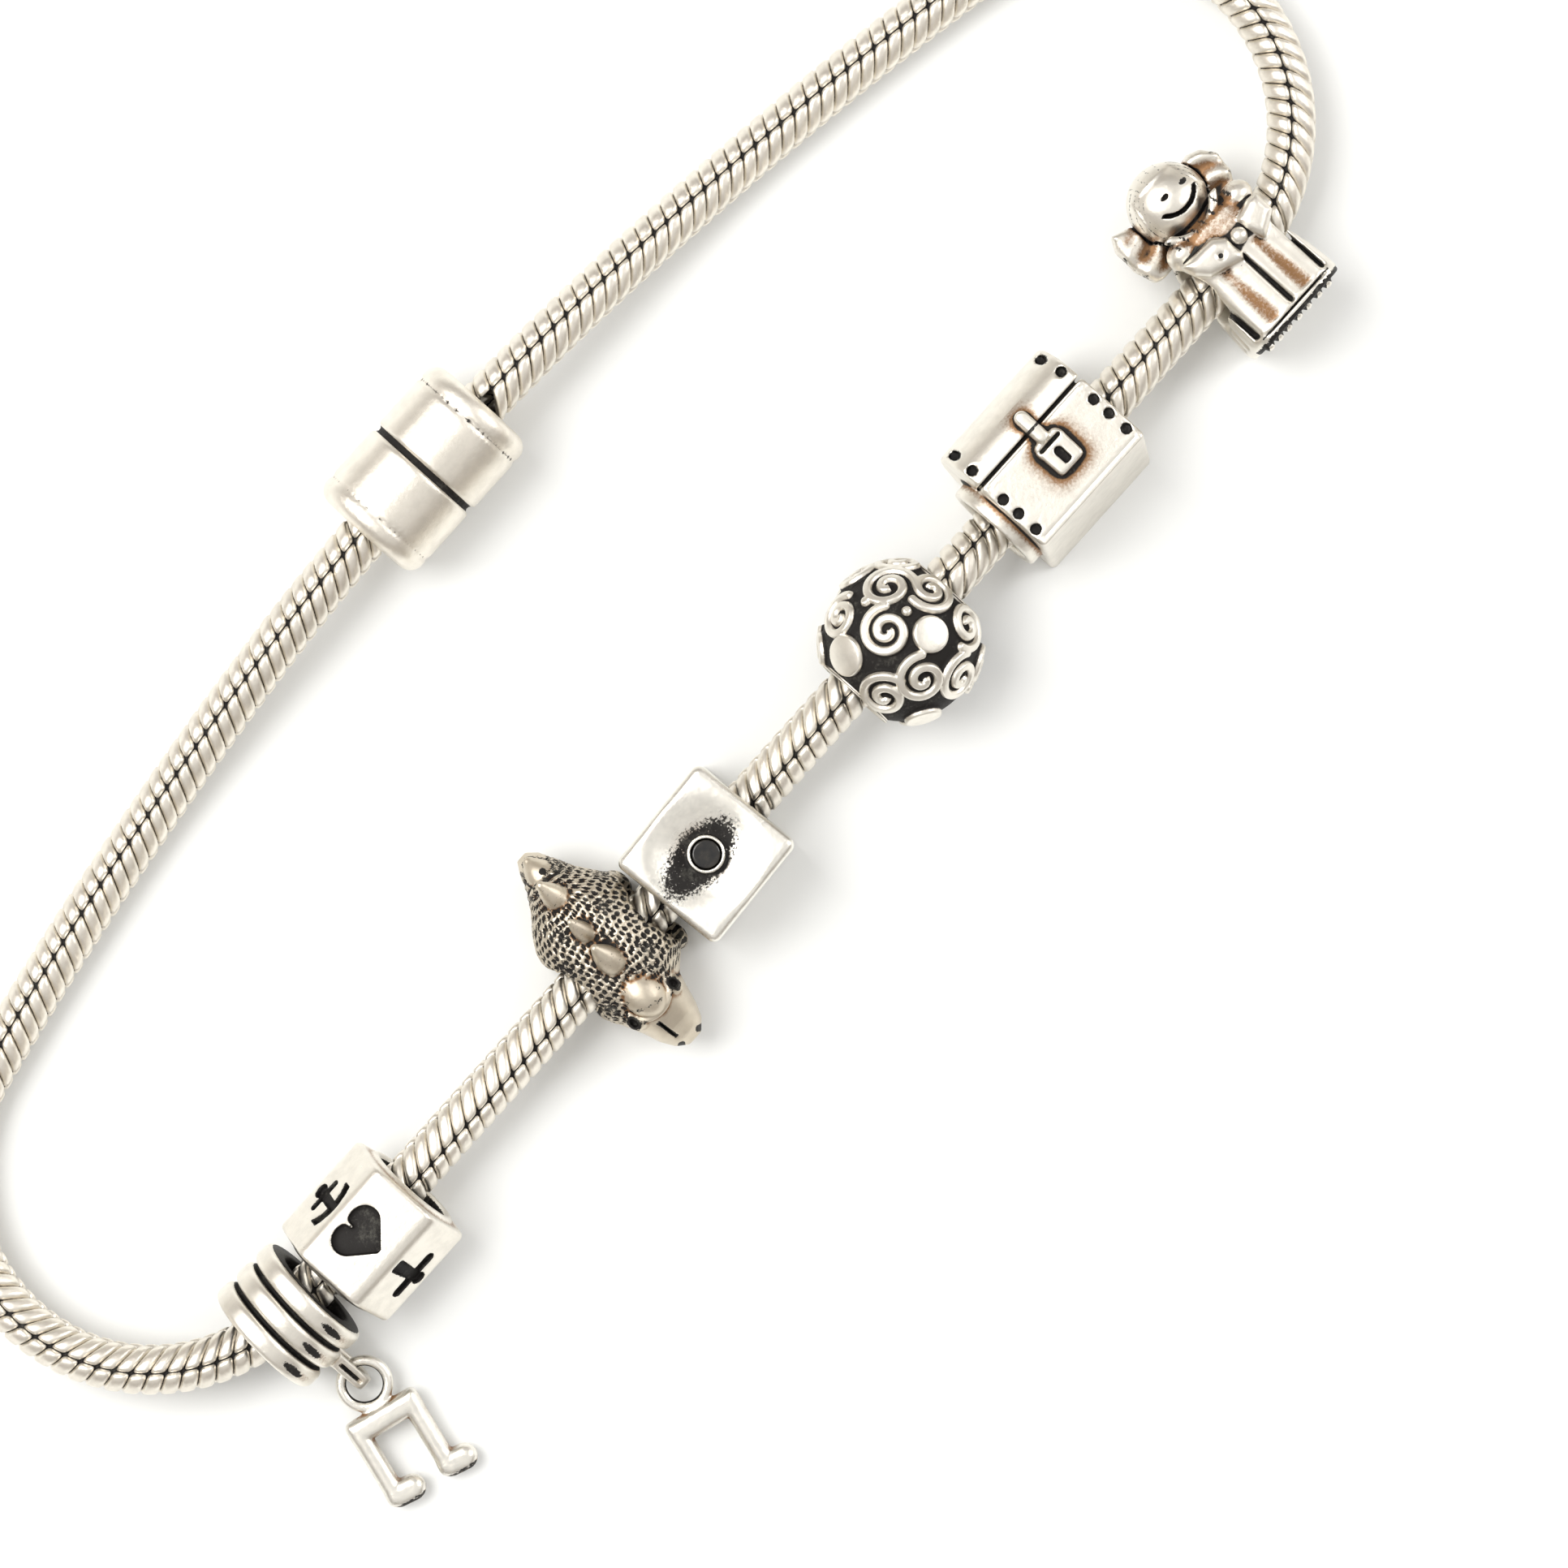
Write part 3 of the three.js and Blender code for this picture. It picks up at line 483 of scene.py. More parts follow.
def ridged(x, y, z):
    radius = np.hypot(y, z)
    bands = 9.0
    for middle in (-ridge_pitch, 0, ridge_pitch):
        across = np.abs(x - middle) - ridge_half
        band = solid_from_flat(across, radius - ridge_root, ridged_radius - ridge_root, 0.4)
        bands = join(bands, band)
    sleeve = solid_from_flat(radius - ridged_radius + sleeve_inset, x, sleeve_half, 0.1)
    body = join(bands, sleeve, 0.15)
    body = cut(body, radius - bore_radius, 0.25)
    # The loop, in the plane across the bore: outwards along its stem, and across it
    out = -y * math.cos(loop_dip) - z * math.sin(loop_dip)
    off = y * math.sin(loop_dip) - z * math.cos(loop_dip)
    past = np.maximum(out - loop_arc, 0)
    ring = np.abs(np.hypot(past, off) - loop_half) - loop_wire
    ring = np.maximum(ring, loop_start - out)
    stem = np.maximum(np.abs(off) - 1.0, np.abs(out - 3.35) - 0.45)
    loop = solid_from_flat(join(ring, stem, 0.3), x, loop_thick, 0.16)
    body = join(body, loop, 0.35)
    # A shallow groove down the middle of the loop's strap
    slit = np.maximum(np.abs(x) - 0.1, np.abs(out - 5.0) - 0.95)
    return cut(body, np.maximum(slit, off + 0.78), 0.14)


def ridged_paint(x, y, z):
    radius = np.hypot(y, z)
    groove = np.clip((ridged_radius - 0.2 - radius) / 0.12, 0, 1.5) * (radius > bore_radius + 0.1)
    inner = 1.5 * (radius < bore_radius + 0.1)
    around = np.degrees(np.arctan2(-y, z))
    band = np.mod(x + 1.5 * ridge_pitch, ridge_pitch) - ridge_pitch / 2
    # Painted reflections: a dark blot across each band, with tan round it
    dark_reflection = np.hypot((around - 40 + 9 * band) / 13, band / 0.22)
    slit = np.clip(1.3 - np.abs(x) / 0.14, 0, 0.9) * smooth((-3.95 - y) / 0.3) * smooth((y + 5.6) / 0.3)
    # Painted reflection: tan over the bands' lower side
    low = smooth((around - 30) / 40) * (radius > 3.2)
    ink = np.maximum(np.maximum(groove, inner), np.maximum(slit, np.clip(1.5 - dark_reflection, 0, 1)))
    tan_reflection = np.clip(1 - np.hypot((around - 46) / 26, band / 0.7), 0, 1)
    return {"ink": ink, "brown": 0.12 + 0.35 * low + 0.7 * tan_reflection}


cast_silver = oxidised_silver("cast_silver", (0.88, 0.84, 0.76, 1), polish=0.3, grime_and_shade=0.6)
ridged_at = place_on_run(-40.95, -0.1, ridged_radius)
bead_lean = math.radians(-4)
bead = cast_piece("bead_ridges", ridged, (-2.4, -7.2, -4.1), (2.4, 4.1, 4.1), 0.09, ridged_at,
                  (0, 0, bead_lean), ridged_paint)
finish_piece(bead, cast_silver, "cast_silver", "ridged_bead")

# Note drop: a beamed pair of notes cast flat with soft edges, a plain wire ring soldered to its
# beam. It hangs from the ridged bead's loop and lies with its heads on the surface.
eye_radius = 1.65
eye_wire = 0.31
note_half = 0.65
note_reach = 5.75
note_turn = math.radians(-17.3)
stem_at = 1.72
stem_middle = -4.3


def bar_field(x, y, start, end, radius):
    """Distance in a plane to a straight bar with round ends."""
    (x0, y0), (x1, y1) = start, end
    dx, dy = x1 - x0, y1 - y0
    share = np.clip(((x - x0) * dx + (y - y0) * dy) / (dx * dx + dy * dy), 0, 1)
    return np.hypot(x - x0 - share * dx, y - y0 - share * dy) - radius


def box_flat(x, y, middle, half, edge):
    qx, qy = np.abs(x - middle[0]) - half[0] + edge, np.abs(y - middle[1]) - half[1] + edge
    return np.hypot(np.maximum(qx, 0), np.maximum(qy, 0)) + np.minimum(np.maximum(qx, qy), 0) - edge


def note_flat(x, y):
    beam = box_flat(x, y, (0, -2.22), (2.27, 0.72), 0.3)
    stems = box_flat(np.abs(x), y, (stem_at, stem_middle), (0.56, 2.6), 0.25)
    outline = join(beam, stems, 0.12)
    for middle in (-1.12, 2.3):
        head = bar_field(x, y, (middle - 0.42, -6.45), (middle + 0.42, -6.52), 0.74)
        outline = join(outline, head, 0.2)
    return outline


def note(x, y, z):
    body = solid_from_flat(note_flat(x, y) - 0.02, z, note_half, 0.58)
    wire = np.hypot(np.hypot(x, y) - eye_radius + eye_wire, z) - eye_wire
    return join(body, wire, 0.3)


def note_paint(x, y, z):
    # Painted shade: brown where the ring meets the beam, and dark inside the ring's wire where its inner
    # wall is shaded
    ring_join_shade = np.clip(1 - np.hypot(np.hypot(x, y) - 1.2, 0.5 * (y + 1.3)) / 0.9, 0, 1)
    inner = np.clip((1.16 - np.hypot(x, y)) / 0.1, 0, 1.2)
    # Painted shadow: dark along the lower ends of the heads
    foot_shadow = smooth((-6.85 - y) / 0.2) * (z > -0.3)
    # Painted shade: brown along the rounded edges of the outline, and dark on its sides
    edge = np.clip((note_flat(x, y) + 0.16) / 0.1, 0, 1) * (np.hypot(x, y) > 1.7)
    side = edge * np.clip((np.abs(z) - 0.2) / 0.25, 0, 1)
    ink = np.maximum(inner, np.maximum(0.45 * side, 0.62 * foot_shadow))
    return {"brown": 0.5 * ring_join_shade + 0.62 * edge + 0.5 * foot_shadow, "ink": ink}


bright_silver = oxidised_silver("bright_silver", (0.91, 0.88, 0.81, 1), polish=0.25, grime_and_shade=0.4)
slit_out = loop_arc - 0.45
wire_height = ridged_radius - slit_out * math.sin(loop_dip)
eye_half = eye_radius - eye_wire
note_tilt = math.asin((wire_height - note_half - 0.05) / (note_reach + eye_radius + eye_half))
wire_reach = slit_out * math.cos(loop_dip) + eye_half
note_at = (ridged_at[0] + wire_reach * math.sin(bead_lean),
           ridged_at[1] - wire_reach * math.cos(bead_lean),
           wire_height - eye_half * math.sin(note_tilt))
note_drop = cast_piece("note_drop", note, (-2.6, -7.5, -0.9), (4.0, 2.0, 0.9), 0.07, (0, 0, 0),
                       paint=note_paint)
in_plane = Matrix.Rotation(note_turn, 4, "Z")
lying = Matrix.Rotation(note_tilt, 4, "X")
note_drop.data.transform(Matrix.Translation(Vector(note_at) * MM) @ lying @ in_plane)
finish_piece(note_drop, bright_silver, "cast_silver", "music_note")

# Six-sided drum: a silver casting with a heart, anchors and crosses sunk in five facets and
# blackened, and a plain lowest facet. It is threaded on the chain through its bore.
drum_flats = 7.2
drum_half = 3.3
symbol_depth = 0.35
drum_bore = 2.4


def heart(x, y):
    side, tall = 1.86, 0.92
    y = y / tall - 0.1
    half = side / 2
    diamond = box_flat((x + y) / math.sqrt(2), (x - y) / math.sqrt(2), (0, 0), (half, half), 0.22)
    lobe_at = side * 0.3536
    lobes = np.hypot(np.abs(x) - lobe_at, y - lobe_at) - half
    notch = bar_field(x, y, (0, 1.9), (0, 1.0), 0.1)
    return cut(join(diamond, lobes, 0.05), notch, 0.25)


def anchor(x, y):
    ring = np.hypot(x, y - 1.05) - 0.42
    shank = bar_field(x, y, (0, 1.0), (0, -0.9), 0.25)
    stock = bar_field(x, y, (-0.85, 0.45), (0.85, 0.45), 0.2)
    bow = np.abs(np.hypot(x, y - 1.3) - 2.45) - 0.24
    bow = np.maximum(bow, np.maximum(y + 0.35, np.abs(x) - 1.42))
    return join(join(ring, shank, 0.1), join(stock, bow, 0.1), 0.08)


def cross(x, y):
    head = np.hypot(x, y - 1.15) - 0.38
    upright = box_flat(x, y, (0, -0.15), (0.33 - 0.06 * y, 1.4), 0.12)
    arms = bar_field(x, y, (-1.3, 0.5), (1.3, 0.5), 0.3)
    return join(join(head, upright, 0.1), arms, 0.1)


# Facets by their turn from the top one, what is sunk there and which way its top points
drum_facets = [
    (0, heart, 1),
    (60, anchor, 1),
    (-60, cross, -1),
    (120, cross, -1),
    (-120, anchor, 1),
]
symbols_along = -0.1


def facet_plane(y, z, turn):
    turn = math.radians(turn)
    across = y * math.cos(turn) - z * math.sin(turn)
    height = y * math.sin(turn) + z * math.cos(turn)
    return across, height


def drum(x, y, z):
    faces = [facet_plane(y, z, 60 * k)[1] - drum_flats / 2 for k in range(6)]
    section = faces[0]
    for face in faces[1:]:
        section = -join(-section, -face, 0.5)
    body = solid_from_flat(section, x, drum_half, 0.28)
    for turn, outline, way in drum_facets:
        across, height = facet_plane(y, z, turn)
        floor = drum_flats / 2 - symbol_depth - height
        sunk = np.maximum(outline(x - symbols_along, way * across), floor)
        body = cut(body, sunk, 0.06)
    bore = np.hypot(y, z)
    body = cut(body, bore - drum_bore, 0.5)
    rim = np.hypot(np.abs(x) - drum_half + 0.05, bore - drum_bore - 0.3) - 0.28
    return join(body, rim, 0.2)


def drum_paint(x, y, z):
    ink = 0 * x
    brown = 0 * x
    for turn, outline, way in drum_facets:
        across, height = facet_plane(y, z, turn)
        inside = outline(x - symbols_along, way * across)
        on_facet = height > drum_flats / 2 - symbol_depth - 0.1
        ink = np.maximum(ink, on_facet * np.clip(1.3 - inside / 0.07, 0, 1.5))
        brown = np.maximum(brown, on_facet * np.clip(1 - inside / 0.2, 0, 1) * 0.3)
    # Painted shade: brown on the end faces, and a light brown on the drum below its top facet
    end = np.clip((np.abs(x) - drum_half + 0.12) / 0.1, 0, 1)
    side = smooth((3.3 - z) / 0.4) * 0.17
    inner = 1.5 * (np.hypot(y, z) < drum_bore + 0.03)
    return {"ink": np.maximum(ink, inner), "brown": np.maximum(brown, np.maximum(0.5 * end, side))}


drum_at = place_on_run(-34.3, -0.45, drum_flats / 2)
drum_piece = cast_piece("drum_symbols", drum, (-3.7, -4.5, -3.8), (3.7, 4.5, 3.8), 0.09, drum_at,
                        paint=drum_paint)
finish_piece(drum_piece, cast_silver, "cast_silver", "hexagonal_drum")

# Dinosaur: a heavily oxidised casting of a plated dinosaur lying across the chain, which passes
# through its flanks. Rows of small pits stand for its scales.
dinosaur_bore_height = 3.7

# Sections down the back from the tail's tip: along, middle, half width, bottom, top, in mm
back_sections = np.array([
    (7.45, 0.35, 0.35, 2.4, 3.3),
    (6.9, 0.4, 0.8, 1.4, 4.1),
    (5.9, 0.35, 1.3, 0.8, 4.9),
    (4.95, 0.2, 1.8, 0.35, 5.7),
    (3.9, 0.0, 2.6, 0.15, 6.3),
    (3.08, 0.0, 3.15, 0.05, 6.7),
    (1.83, 0.0, 3.5, 0.0, 7.0),
    (0.0, 0.0, 3.55, 0.0, 7.1),
    (-1.28, 0.0, 3.48, 0.0, 7.0),
    (-2.3, -0.1, 3.2, 0.05, 6.7),
    (-3.1, -0.4, 2.5, 0.2, 6.3),
    (-3.57, -0.6, 2.1, 0.35, 6.1),
    (-4.4, -0.6, 1.8, 0.6, 5.6),
    (-5.4, -0.65, 1.5, 0.8, 4.9),
    (-6.2, -0.67, 1.1, 1.1, 4.1),
    (-6.72, -0.67, 0.5, 1.7, 3.3),
])[::-1]

# Plates along the back, cones that lean towards the tail: root, tip, and the root's radius
back_plates = [
    ((0.38, 5.7, 4.1), (0.45, 6.95, 4.0), 0.85),
    ((0.12, 4.0, 5.5), (0.08, 5.45, 6.7), 0.78),
    ((-0.2, 1.75, 6.7), (-0.26, 2.85, 7.8), 0.56),
    ((-0.4, -0.35, 6.75), (-0.42, 0.85, 7.95), 0.78),
]
eye_places = [(0.95, -3.7), (-2.2, -3.55)]
nostril_places = [(-0.05, -6.5), (-1.45, -6.38)]
brow_x = -0.62
crease_x = -1.5
crease_y = -5.2
pit_pitch = 0.47
pit_depth = 0.12
leg_places = (2.4, -1.9)


def lofted(y, x, z, table, power):
    """A field of oval sections that change along y, scaled by its own slope to a distance."""
    columns = [np.interp(y, table[:, 0], table[:, k]).astype(np.float32) for k in (1, 2, 3, 4)]
    middle, half, bottom, top = columns
    inside = (np.abs((x - middle) / half) ** power
              + np.abs((2 * z - top - bottom) / (top - bottom)) ** power) ** (1 / power)
    size = np.minimum(half, (top - bottom) / 2)
    field = (inside - 1) * size
    ends = np.maximum(y - table[-1, 0], table[0, 0] - y)
    return np.maximum(field, ends)


def ellipsoid(x, y, z, middle, radii):
    px, py, pz = (x - middle[0]), (y - middle[1]), (z - middle[2])
    a = np.sqrt((px / radii[0]) ** 2 + (py / radii[1]) ** 2 + (pz / radii[2]) ** 2)
    b = np.sqrt((px / radii[0] ** 2) ** 2 + (py / radii[1] ** 2) ** 2 + (pz / radii[2] ** 2) ** 2)
    return a * (a - 1) / np.maximum(b, 1e-4)


def plate_field(x, y, up):
    field = 9.0
    for root, tip, radius in back_plates:
        span = [b - a for a, b in zip(root, tip)]
        size = sum(s * s for s in span)
        way = ((x - root[0]) * span[0] + (y - root[1]) * span[1] + (up - root[2]) * span[2]) / size
        way = np.clip(way, 0, 1)
        away = np.sqrt((x - root[0] - way * span[0]) ** 2 + (y - root[1] - way * span[1]) ** 2
                       + (up - root[2] - way * span[2]) ** 2)
        field = np.minimum(field, away - radius * (1 - 0.66 * way * way))
    return field


def scale_pits(x, y, z):
    """How deep the scale pattern dips, in staggered rows across the flanks: 1 in a pit."""
    y = y + 0.09 * np.sin(2.9 * x + 0.7 * y) + 0.06 * np.sin(5.3 * z)
    around = np.arctan2(x, z - 1.5) * 3.5 + 0.08 * np.sin(3.1 * y)
    row = y / pit_pitch
    shift = 0.5 * np.mod(np.floor(row), 2)
    column = around / pit_pitch + shift
    wobble = 0.1 * np.sin(7.3 * np.floor(row) + 3.1 * np.floor(column))
    du = column - np.floor(column) - 0.5 + wobble
    dv = row - np.floor(row) - 0.5 - wobble
    return np.clip(1.65 - np.hypot(du * 1.05, dv) / 0.34, 0, 1.3)


def flank_share(y, z):
    body = smooth((y + 3.4) / 0.5) * smooth((6.9 - y) / 0.5)
    return body * smooth((z + dinosaur_bore_height - 0.5) / 0.5)


def dinosaur(x, y, z):
    table_z = z + dinosaur_bore_height
    body = lofted(y, x, table_z, back_sections, 2.5)
    body = body + pit_depth * scale_pits(x, y, z) * flank_share(y, z)
    body = join(body, plate_field(x, y, table_z), 0.12)
    # Domed brow with a rolled rim
    brow = ellipsoid(x, y, table_z, (brow_x, -2.75, 5.75), (1.25, 1.55, 1.25))
    body = join(body, brow, 0.12)
    rim = np.hypot(np.hypot((x - brow_x) / 1.12, y + 3.0) - 1.28, table_z - 5.95) - 0.14
    body = join(body, np.maximum(rim, y + 2.9), 0.12)
    for ex, ey in eye_places:
        body = join(body, ellipsoid(x, y, table_z, (ex * 0.93, ey, 5.3), (0.5, 0.62, 0.55)), 0.15)
        body = cut(body, ellipsoid(x, y, table_z, (ex, ey, 5.85), (0.22, 0.33, 0.5)), 0.05)
    for nx, ny in nostril_places:
        body = cut(body, ellipsoid(x, y, table_z, (nx, ny, 4.2), (0.16, 0.12, 0.6)), 0.04)
    crease = np.maximum(np.abs(x - crease_x + 0.05 * y) - 0.05, np.abs(y - crease_y) - 0.65)
    body = cut(body, np.maximum(crease, 4.2 - table_z), 0.1)
    mouth = np.maximum(np.abs(table_z - 2.6 - 0.12 * y) - 0.1, y + 4.2)
    body = cut(body, mouth, 0.12)
    # Short legs pressed into the flanks
    for leg in leg_places:
        limb = ellipsoid(np.abs(x), y, table_z, (2.75, leg, 1.3), (0.7, 0.95, 1.35))
        body = join(body, limb, 0.2)
    bore = np.hypot(y, z)
    return np.maximum(cut(body, bore - bore_radius, 0.35), -table_z)


def dinosaur_paint(x, y, z):
    up = z + dinosaur_bore_height
    from_plate = plate_field(x, y, up)
    off_plate = smooth(from_plate / 0.12)
    brow = smooth((np.hypot(x - brow_x, (y + 2.7) / 1.25) - 1.0) / 0.15)
    flank = flank_share(y, z) * off_plate
    pits = scale_pits(x, y, z) * flank * brow
    eyes = 0 * x
    for ex, ey in eye_places:
        eye = np.clip(2 - np.hypot((x - ex) / 0.23, (y - ey) / 0.33), 0, 1.5)
        eyes = np.maximum(eyes, eye * (z > 1.2))
    for nx, ny in nostril_places:
        nostril = np.clip(2 - np.hypot((x - nx) / 0.17, (y - ny) / 0.13), 0, 1.5)
        eyes = np.maximum(eyes, nostril)
    crease = np.clip(1.9 - np.abs(x - crease_x + 0.05 * y) / 0.09, 0, 1.3)
    crease = crease * (np.abs(y - crease_y) < 0.68) * (z > 0.4)
    dot = np.clip(2 - np.hypot(x - 0.65, y - 5.95) / 0.14, 0, 1.5) * (z > 0)
    # Dark streaks down the tail, and a dark hollow round each plate and behind the brow
    streaks = 0.5 + 0.5 * np.cos(11 * (x - 0.35) / (1 + 0.25 * (7 - y)) + 0.6 * np.sin(4 * y))
    streaks = 0.62 * streaks * smooth((y - 4.6) / 1.2) * smooth((7.1 - y) / 0.3) * off_plate
    round_plate = 0.7 * np.clip(1.25 - from_plate / 0.3, 0, 1) * off_plate
    shade = 0.3 * np.clip(1.3 - off_plate, 0, 1) * smooth((from_plate + 0.25) / 0.25) * (y < 5.4)
    lines = 0.5 * (1 - brow) * np.clip(0.35 - np.cos(9 * (y + 0.4 * x)), 0, 1)
    lines = lines * smooth((x - brow_x) ** 2 + (y + 2.7) ** 2)
    mottle = 0.55 + 0.35 * np.sin(2.3 * x + 1.1) * np.sin(1.9 * y + 0.4 * x)
    from_brow = np.abs(np.hypot((x - brow_x) / 1.25, y + 2.9) - 1.42)
    round_brow = 0.6 * np.clip(1 - from_brow / 0.3, 0, 1) * (y > -4.1)
    face = smooth((-3.6 - y) / 0.6)
    inks = (pits, eyes, crease, dot, streaks * (z > -2), round_plate, round_brow, shade, lines,
            0.6 * mottle * flank * brow)
    return {"ink": np.maximum.reduce(inks), "brown": 0.14 + 0.32 * flank + 0.22 * face}


dark_silver = oxidised_silver("dark_silver", (0.66, 0.59, 0.48, 1), polish=0.38, grime_and_shade=1.2)
dinosaur_at = place_on_run(-13.37, 0, dinosaur_bore_height)
dinosaur_piece = cast_piece("dinosaur_cast", dinosaur, (-4.0, -7.1, -3.85), (4.0, 7.9, 4.6), 0.095,
                            dinosaur_at, paint=dinosaur_paint)
finish_piece(dinosaur_piece, dark_silver, "cast_silver", "dinosaur")

# Dished cube: a pillow-edged cast cube with one face hollowed to a shallow dish, blackened in a
# grainy oval, and a plain bezel soldered in its middle round a flat black stone.
cube_half = 3.65
dish_half = 3.0
dish_deep = 0.8
bezel_radius = 1.085
bezel_half = 0.8
seat_radius = 0.88
seat_deep = 0.63
stone_radius = 0.8
stone_half = 0.275
dish_sphere = (dish_half ** 2 + dish_deep ** 2) / (2 * dish_deep)


def dished(x, y, z):
    body = box_field(x, y, z, (cube_half, cube_half - 0.05, cube_half), 0.5)
    ball = np.sqrt(x * x + y * y + (z - cube_half + dish_deep - dish_sphere) ** 2) - dish_sphere
    body = cut(body, ball, 0.35)
    spoke = np.hypot(x, y)
    bezel = solid_from_flat(spoke - bezel_radius, z - cube_half + bezel_half, bezel_half, 0.12)
    body = join(body, bezel, 0.1)
    seat = np.maximum(spoke - seat_radius, cube_half - seat_deep - z)
    body = cut(body, seat, 0.05)
    return cut(body, np.hypot(y, z) - bore_radius, 0.4)


def dished_paint(x, y, z):
    on_top = z > 2.2
    oval = np.hypot(x / 2.75, (y - 0.15) / (1.55 - 0.25 * np.abs(x) / 2.75)) - 1
    patch = np.clip(0.46 - oval - 0.16 * x / 2.75, 0, 0.74)
    in_dish = on_top * patch * (np.hypot(x, y) > 1.05)
    inner = 1.5 * on_top * (np.hypot(x, y) < seat_radius + 0.04) * (z < cube_half - 0.04)
    ends = np.clip((2.75 - np.hypot(y, z)) / 0.3, 0, 1) * (np.abs(x) > 2.6)
    # Brown over the middle of the dish, growing towards its +y side
    dish_brown = on_top * np.clip(0.5 - 0.5 * np.hypot(x / 3.0, y / 2.4), 0, 1) * smooth((y + 1) / 2)
    return {"ink": np.maximum(in_dish, np.maximum(inner, ends)), "brown": 0.7 * dish_brown + 0.3 * in_dish}


cube_at = place_on_run(-5.8, -0.22, cube_half)
cube_turn = (0, 0, math.radians(3))
cube_piece = cast_piece("cube_dish", dished, (-4, -4, -4), (4, 4, 4), 0.1, cube_at, cube_turn, dished_paint)
finish_piece(cube_piece, bright_silver, "cast_silver", "dished_cube")


def stone(x, y, z):
    return solid_from_flat(np.hypot(x, y) - stone_radius, z - cube_half + stone_half, stone_half, 0.1)


stone_piece = cast_piece("stone_polished", stone, (-1, -1, 2.9), (1, 1, 3.8), 0.05, cube_at, cube_turn)
stone_black = bpy.data.materials.new("stone_black")
stone_black.use_nodes = True
stone_tree = stone_black.node_tree
stone_shader = stone_tree.nodes["Principled BSDF"]
stone_shader.inputs["Specular IOR Level"].default_value = 0.6
stone_dark = (0.006, 0.006, 0.007, 1)
stone_light = (0.03, 0.026, 0.02, 1)
cloud = noise(stone_tree, 0.5)
stone_tone = blend_colours(stone_tree, cloud.between(0.3, 0.8), stone_dark, stone_light)
stone_tree.links.new(stone_tone.socket, stone_shader.inputs["Base Color"])
stone_tree.links.new((0.12 + cloud * 0.1).socket, stone_shader.inputs["Roughness"])
finish_piece(stone_piece, stone_black, "dark_stone", "cube_stone")

# Scroll ball: a round casting with raised spirals and domes all over, polished on a ground that is
# blackened. Both ends are flat round the bore.
ball_radius = 4.76
ball_half = 4.06
relief = 0.34
spiral_gap = 0.69
motif_scale = 1.13
line_half = 0.27
spiral_start = 1.36
spiral_reach = 2.1
relief_wall = 0.24
# Rings that close each flat end: radius, how far in from the end
end_rings = [(2.4, 0.2), (2.38, 0.12), (2.36, 0.2), (bore_radius, 0.5)]
end_hollows = [0.7, 0.1, 0.1, 0.5]

# Motifs on the upper side, spirals with the way that their outer ends point: x, y, size, degrees
seen_spirals = [
    (-0.25, 1.05, 1.0, 48),
    (-1.36, 3.65, 0.9, 20),
    (1.77, 2.73, 1.1, -36),
    (3.3, 0.75, 0.95, 170),
    (3.22, -2.16, 0.95, 185),
    (-0.9, -2.39, 1.0, 50),
    (0.7, -3.99, 1.0, 28),
    (-3.12, -1.4, 1.0, 8),
    (-3.5, 3.34, 0.85, 30),
]
seen_domes = [
    (1.35, -0.97, 0.98),
    (-2.89, 1.89, 1.1),
    (-2.43, -3.92, 1.0),
    (0.25, 3.1, 0.27),
    (1.39, 0.97, 0.26),
]
spread_places = 60
least_spacing = 2.3


def ball_direction(x, y):
    lift = math.sqrt(max(0.02, ball_radius ** 2 - x * x - y * y))
    return Vector((x, y, lift)).normalized()


motifs = [(ball_direction(x, y), size, math.radians(end)) for x, y, size, end in seen_spirals]
domes = [(ball_direction(x, y), size) for x, y, size in seen_domes]
# The rest of the ball is filled the same way, from an even spread of places
for k in range(spread_places):
    height = 1 - (2 * k + 1) / spread_places
    turn = k * math.pi * (3 - math.sqrt(5))
    wide = math.sqrt(1 - height * height)
    spot = Vector((height, wide * math.cos(turn), wide * math.sin(turn)))
    to_spirals = [motif[0].angle(spot) * ball_radius for motif in motifs]
    to_domes = [dome[0].angle(spot) * ball_radius - 0.5 for dome in domes]
    if min(to_spirals + to_domes) > least_spacing and abs(spot.x) < 0.8 and spot.z < 0.5:
        if k % 4 == 3:
            domes.append((spot, 0.95))
        else:
            motifs.append((spot, 1.0, 0.9 * k))


def tangent_places(directions, spot):
    """Places on the ball about a spot, in millimetres along the surface."""
    east = Vector((1, 0, 0)) - spot * spot.x
    east.normalize()
    north = spot.cross(east)
    dot = np.clip(directions @ np.array(spot), -1, 1)
    reach = np.arccos(dot) * ball_radius
    a, b = directions @ np.array(east), directions @ np.array(north)
    scale = reach / np.maximum(np.hypot(a, b), 1e-6)
    return a * scale, b * scale, reach


def ball_relief(directions):
    """Distance along the surface from each place to the nearest raised line or dome."""
    nearest = np.full(len(directions), 9.0)
    for spot, size, end in motifs:
        size = size * motif_scale
        u, v, reach = tangent_places(directions, spot)
        near = reach < spiral_reach * size
        u, v = u[near] / size, v[near] / size
        angle = np.arctan2(v, u)
        radius = np.hypot(u, v)
        best = np.full(len(u), 9.0)
        for lap in range(-1, 3):
            way = np.mod(angle - end, 2 * math.pi) + 2 * math.pi * lap
            line = spiral_start - spiral_gap * way / (2 * math.pi)
            reach_of = np.where((way >= 0) & (line > 0.1), np.abs(radius - line), 9.0)
            best = np.minimum(best, reach_of)
        tip = np.hypot(u - spiral_start * math.cos(end), v - spiral_start * math.sin(end))
        best = np.minimum(best, tip)
        nearest[near] = np.minimum(nearest[near], best * size - line_half)
    for spot, size in domes:
        _, _, reach = tangent_places(directions, spot)
        nearest = np.minimum(nearest, reach - size * motif_scale)
    return nearest


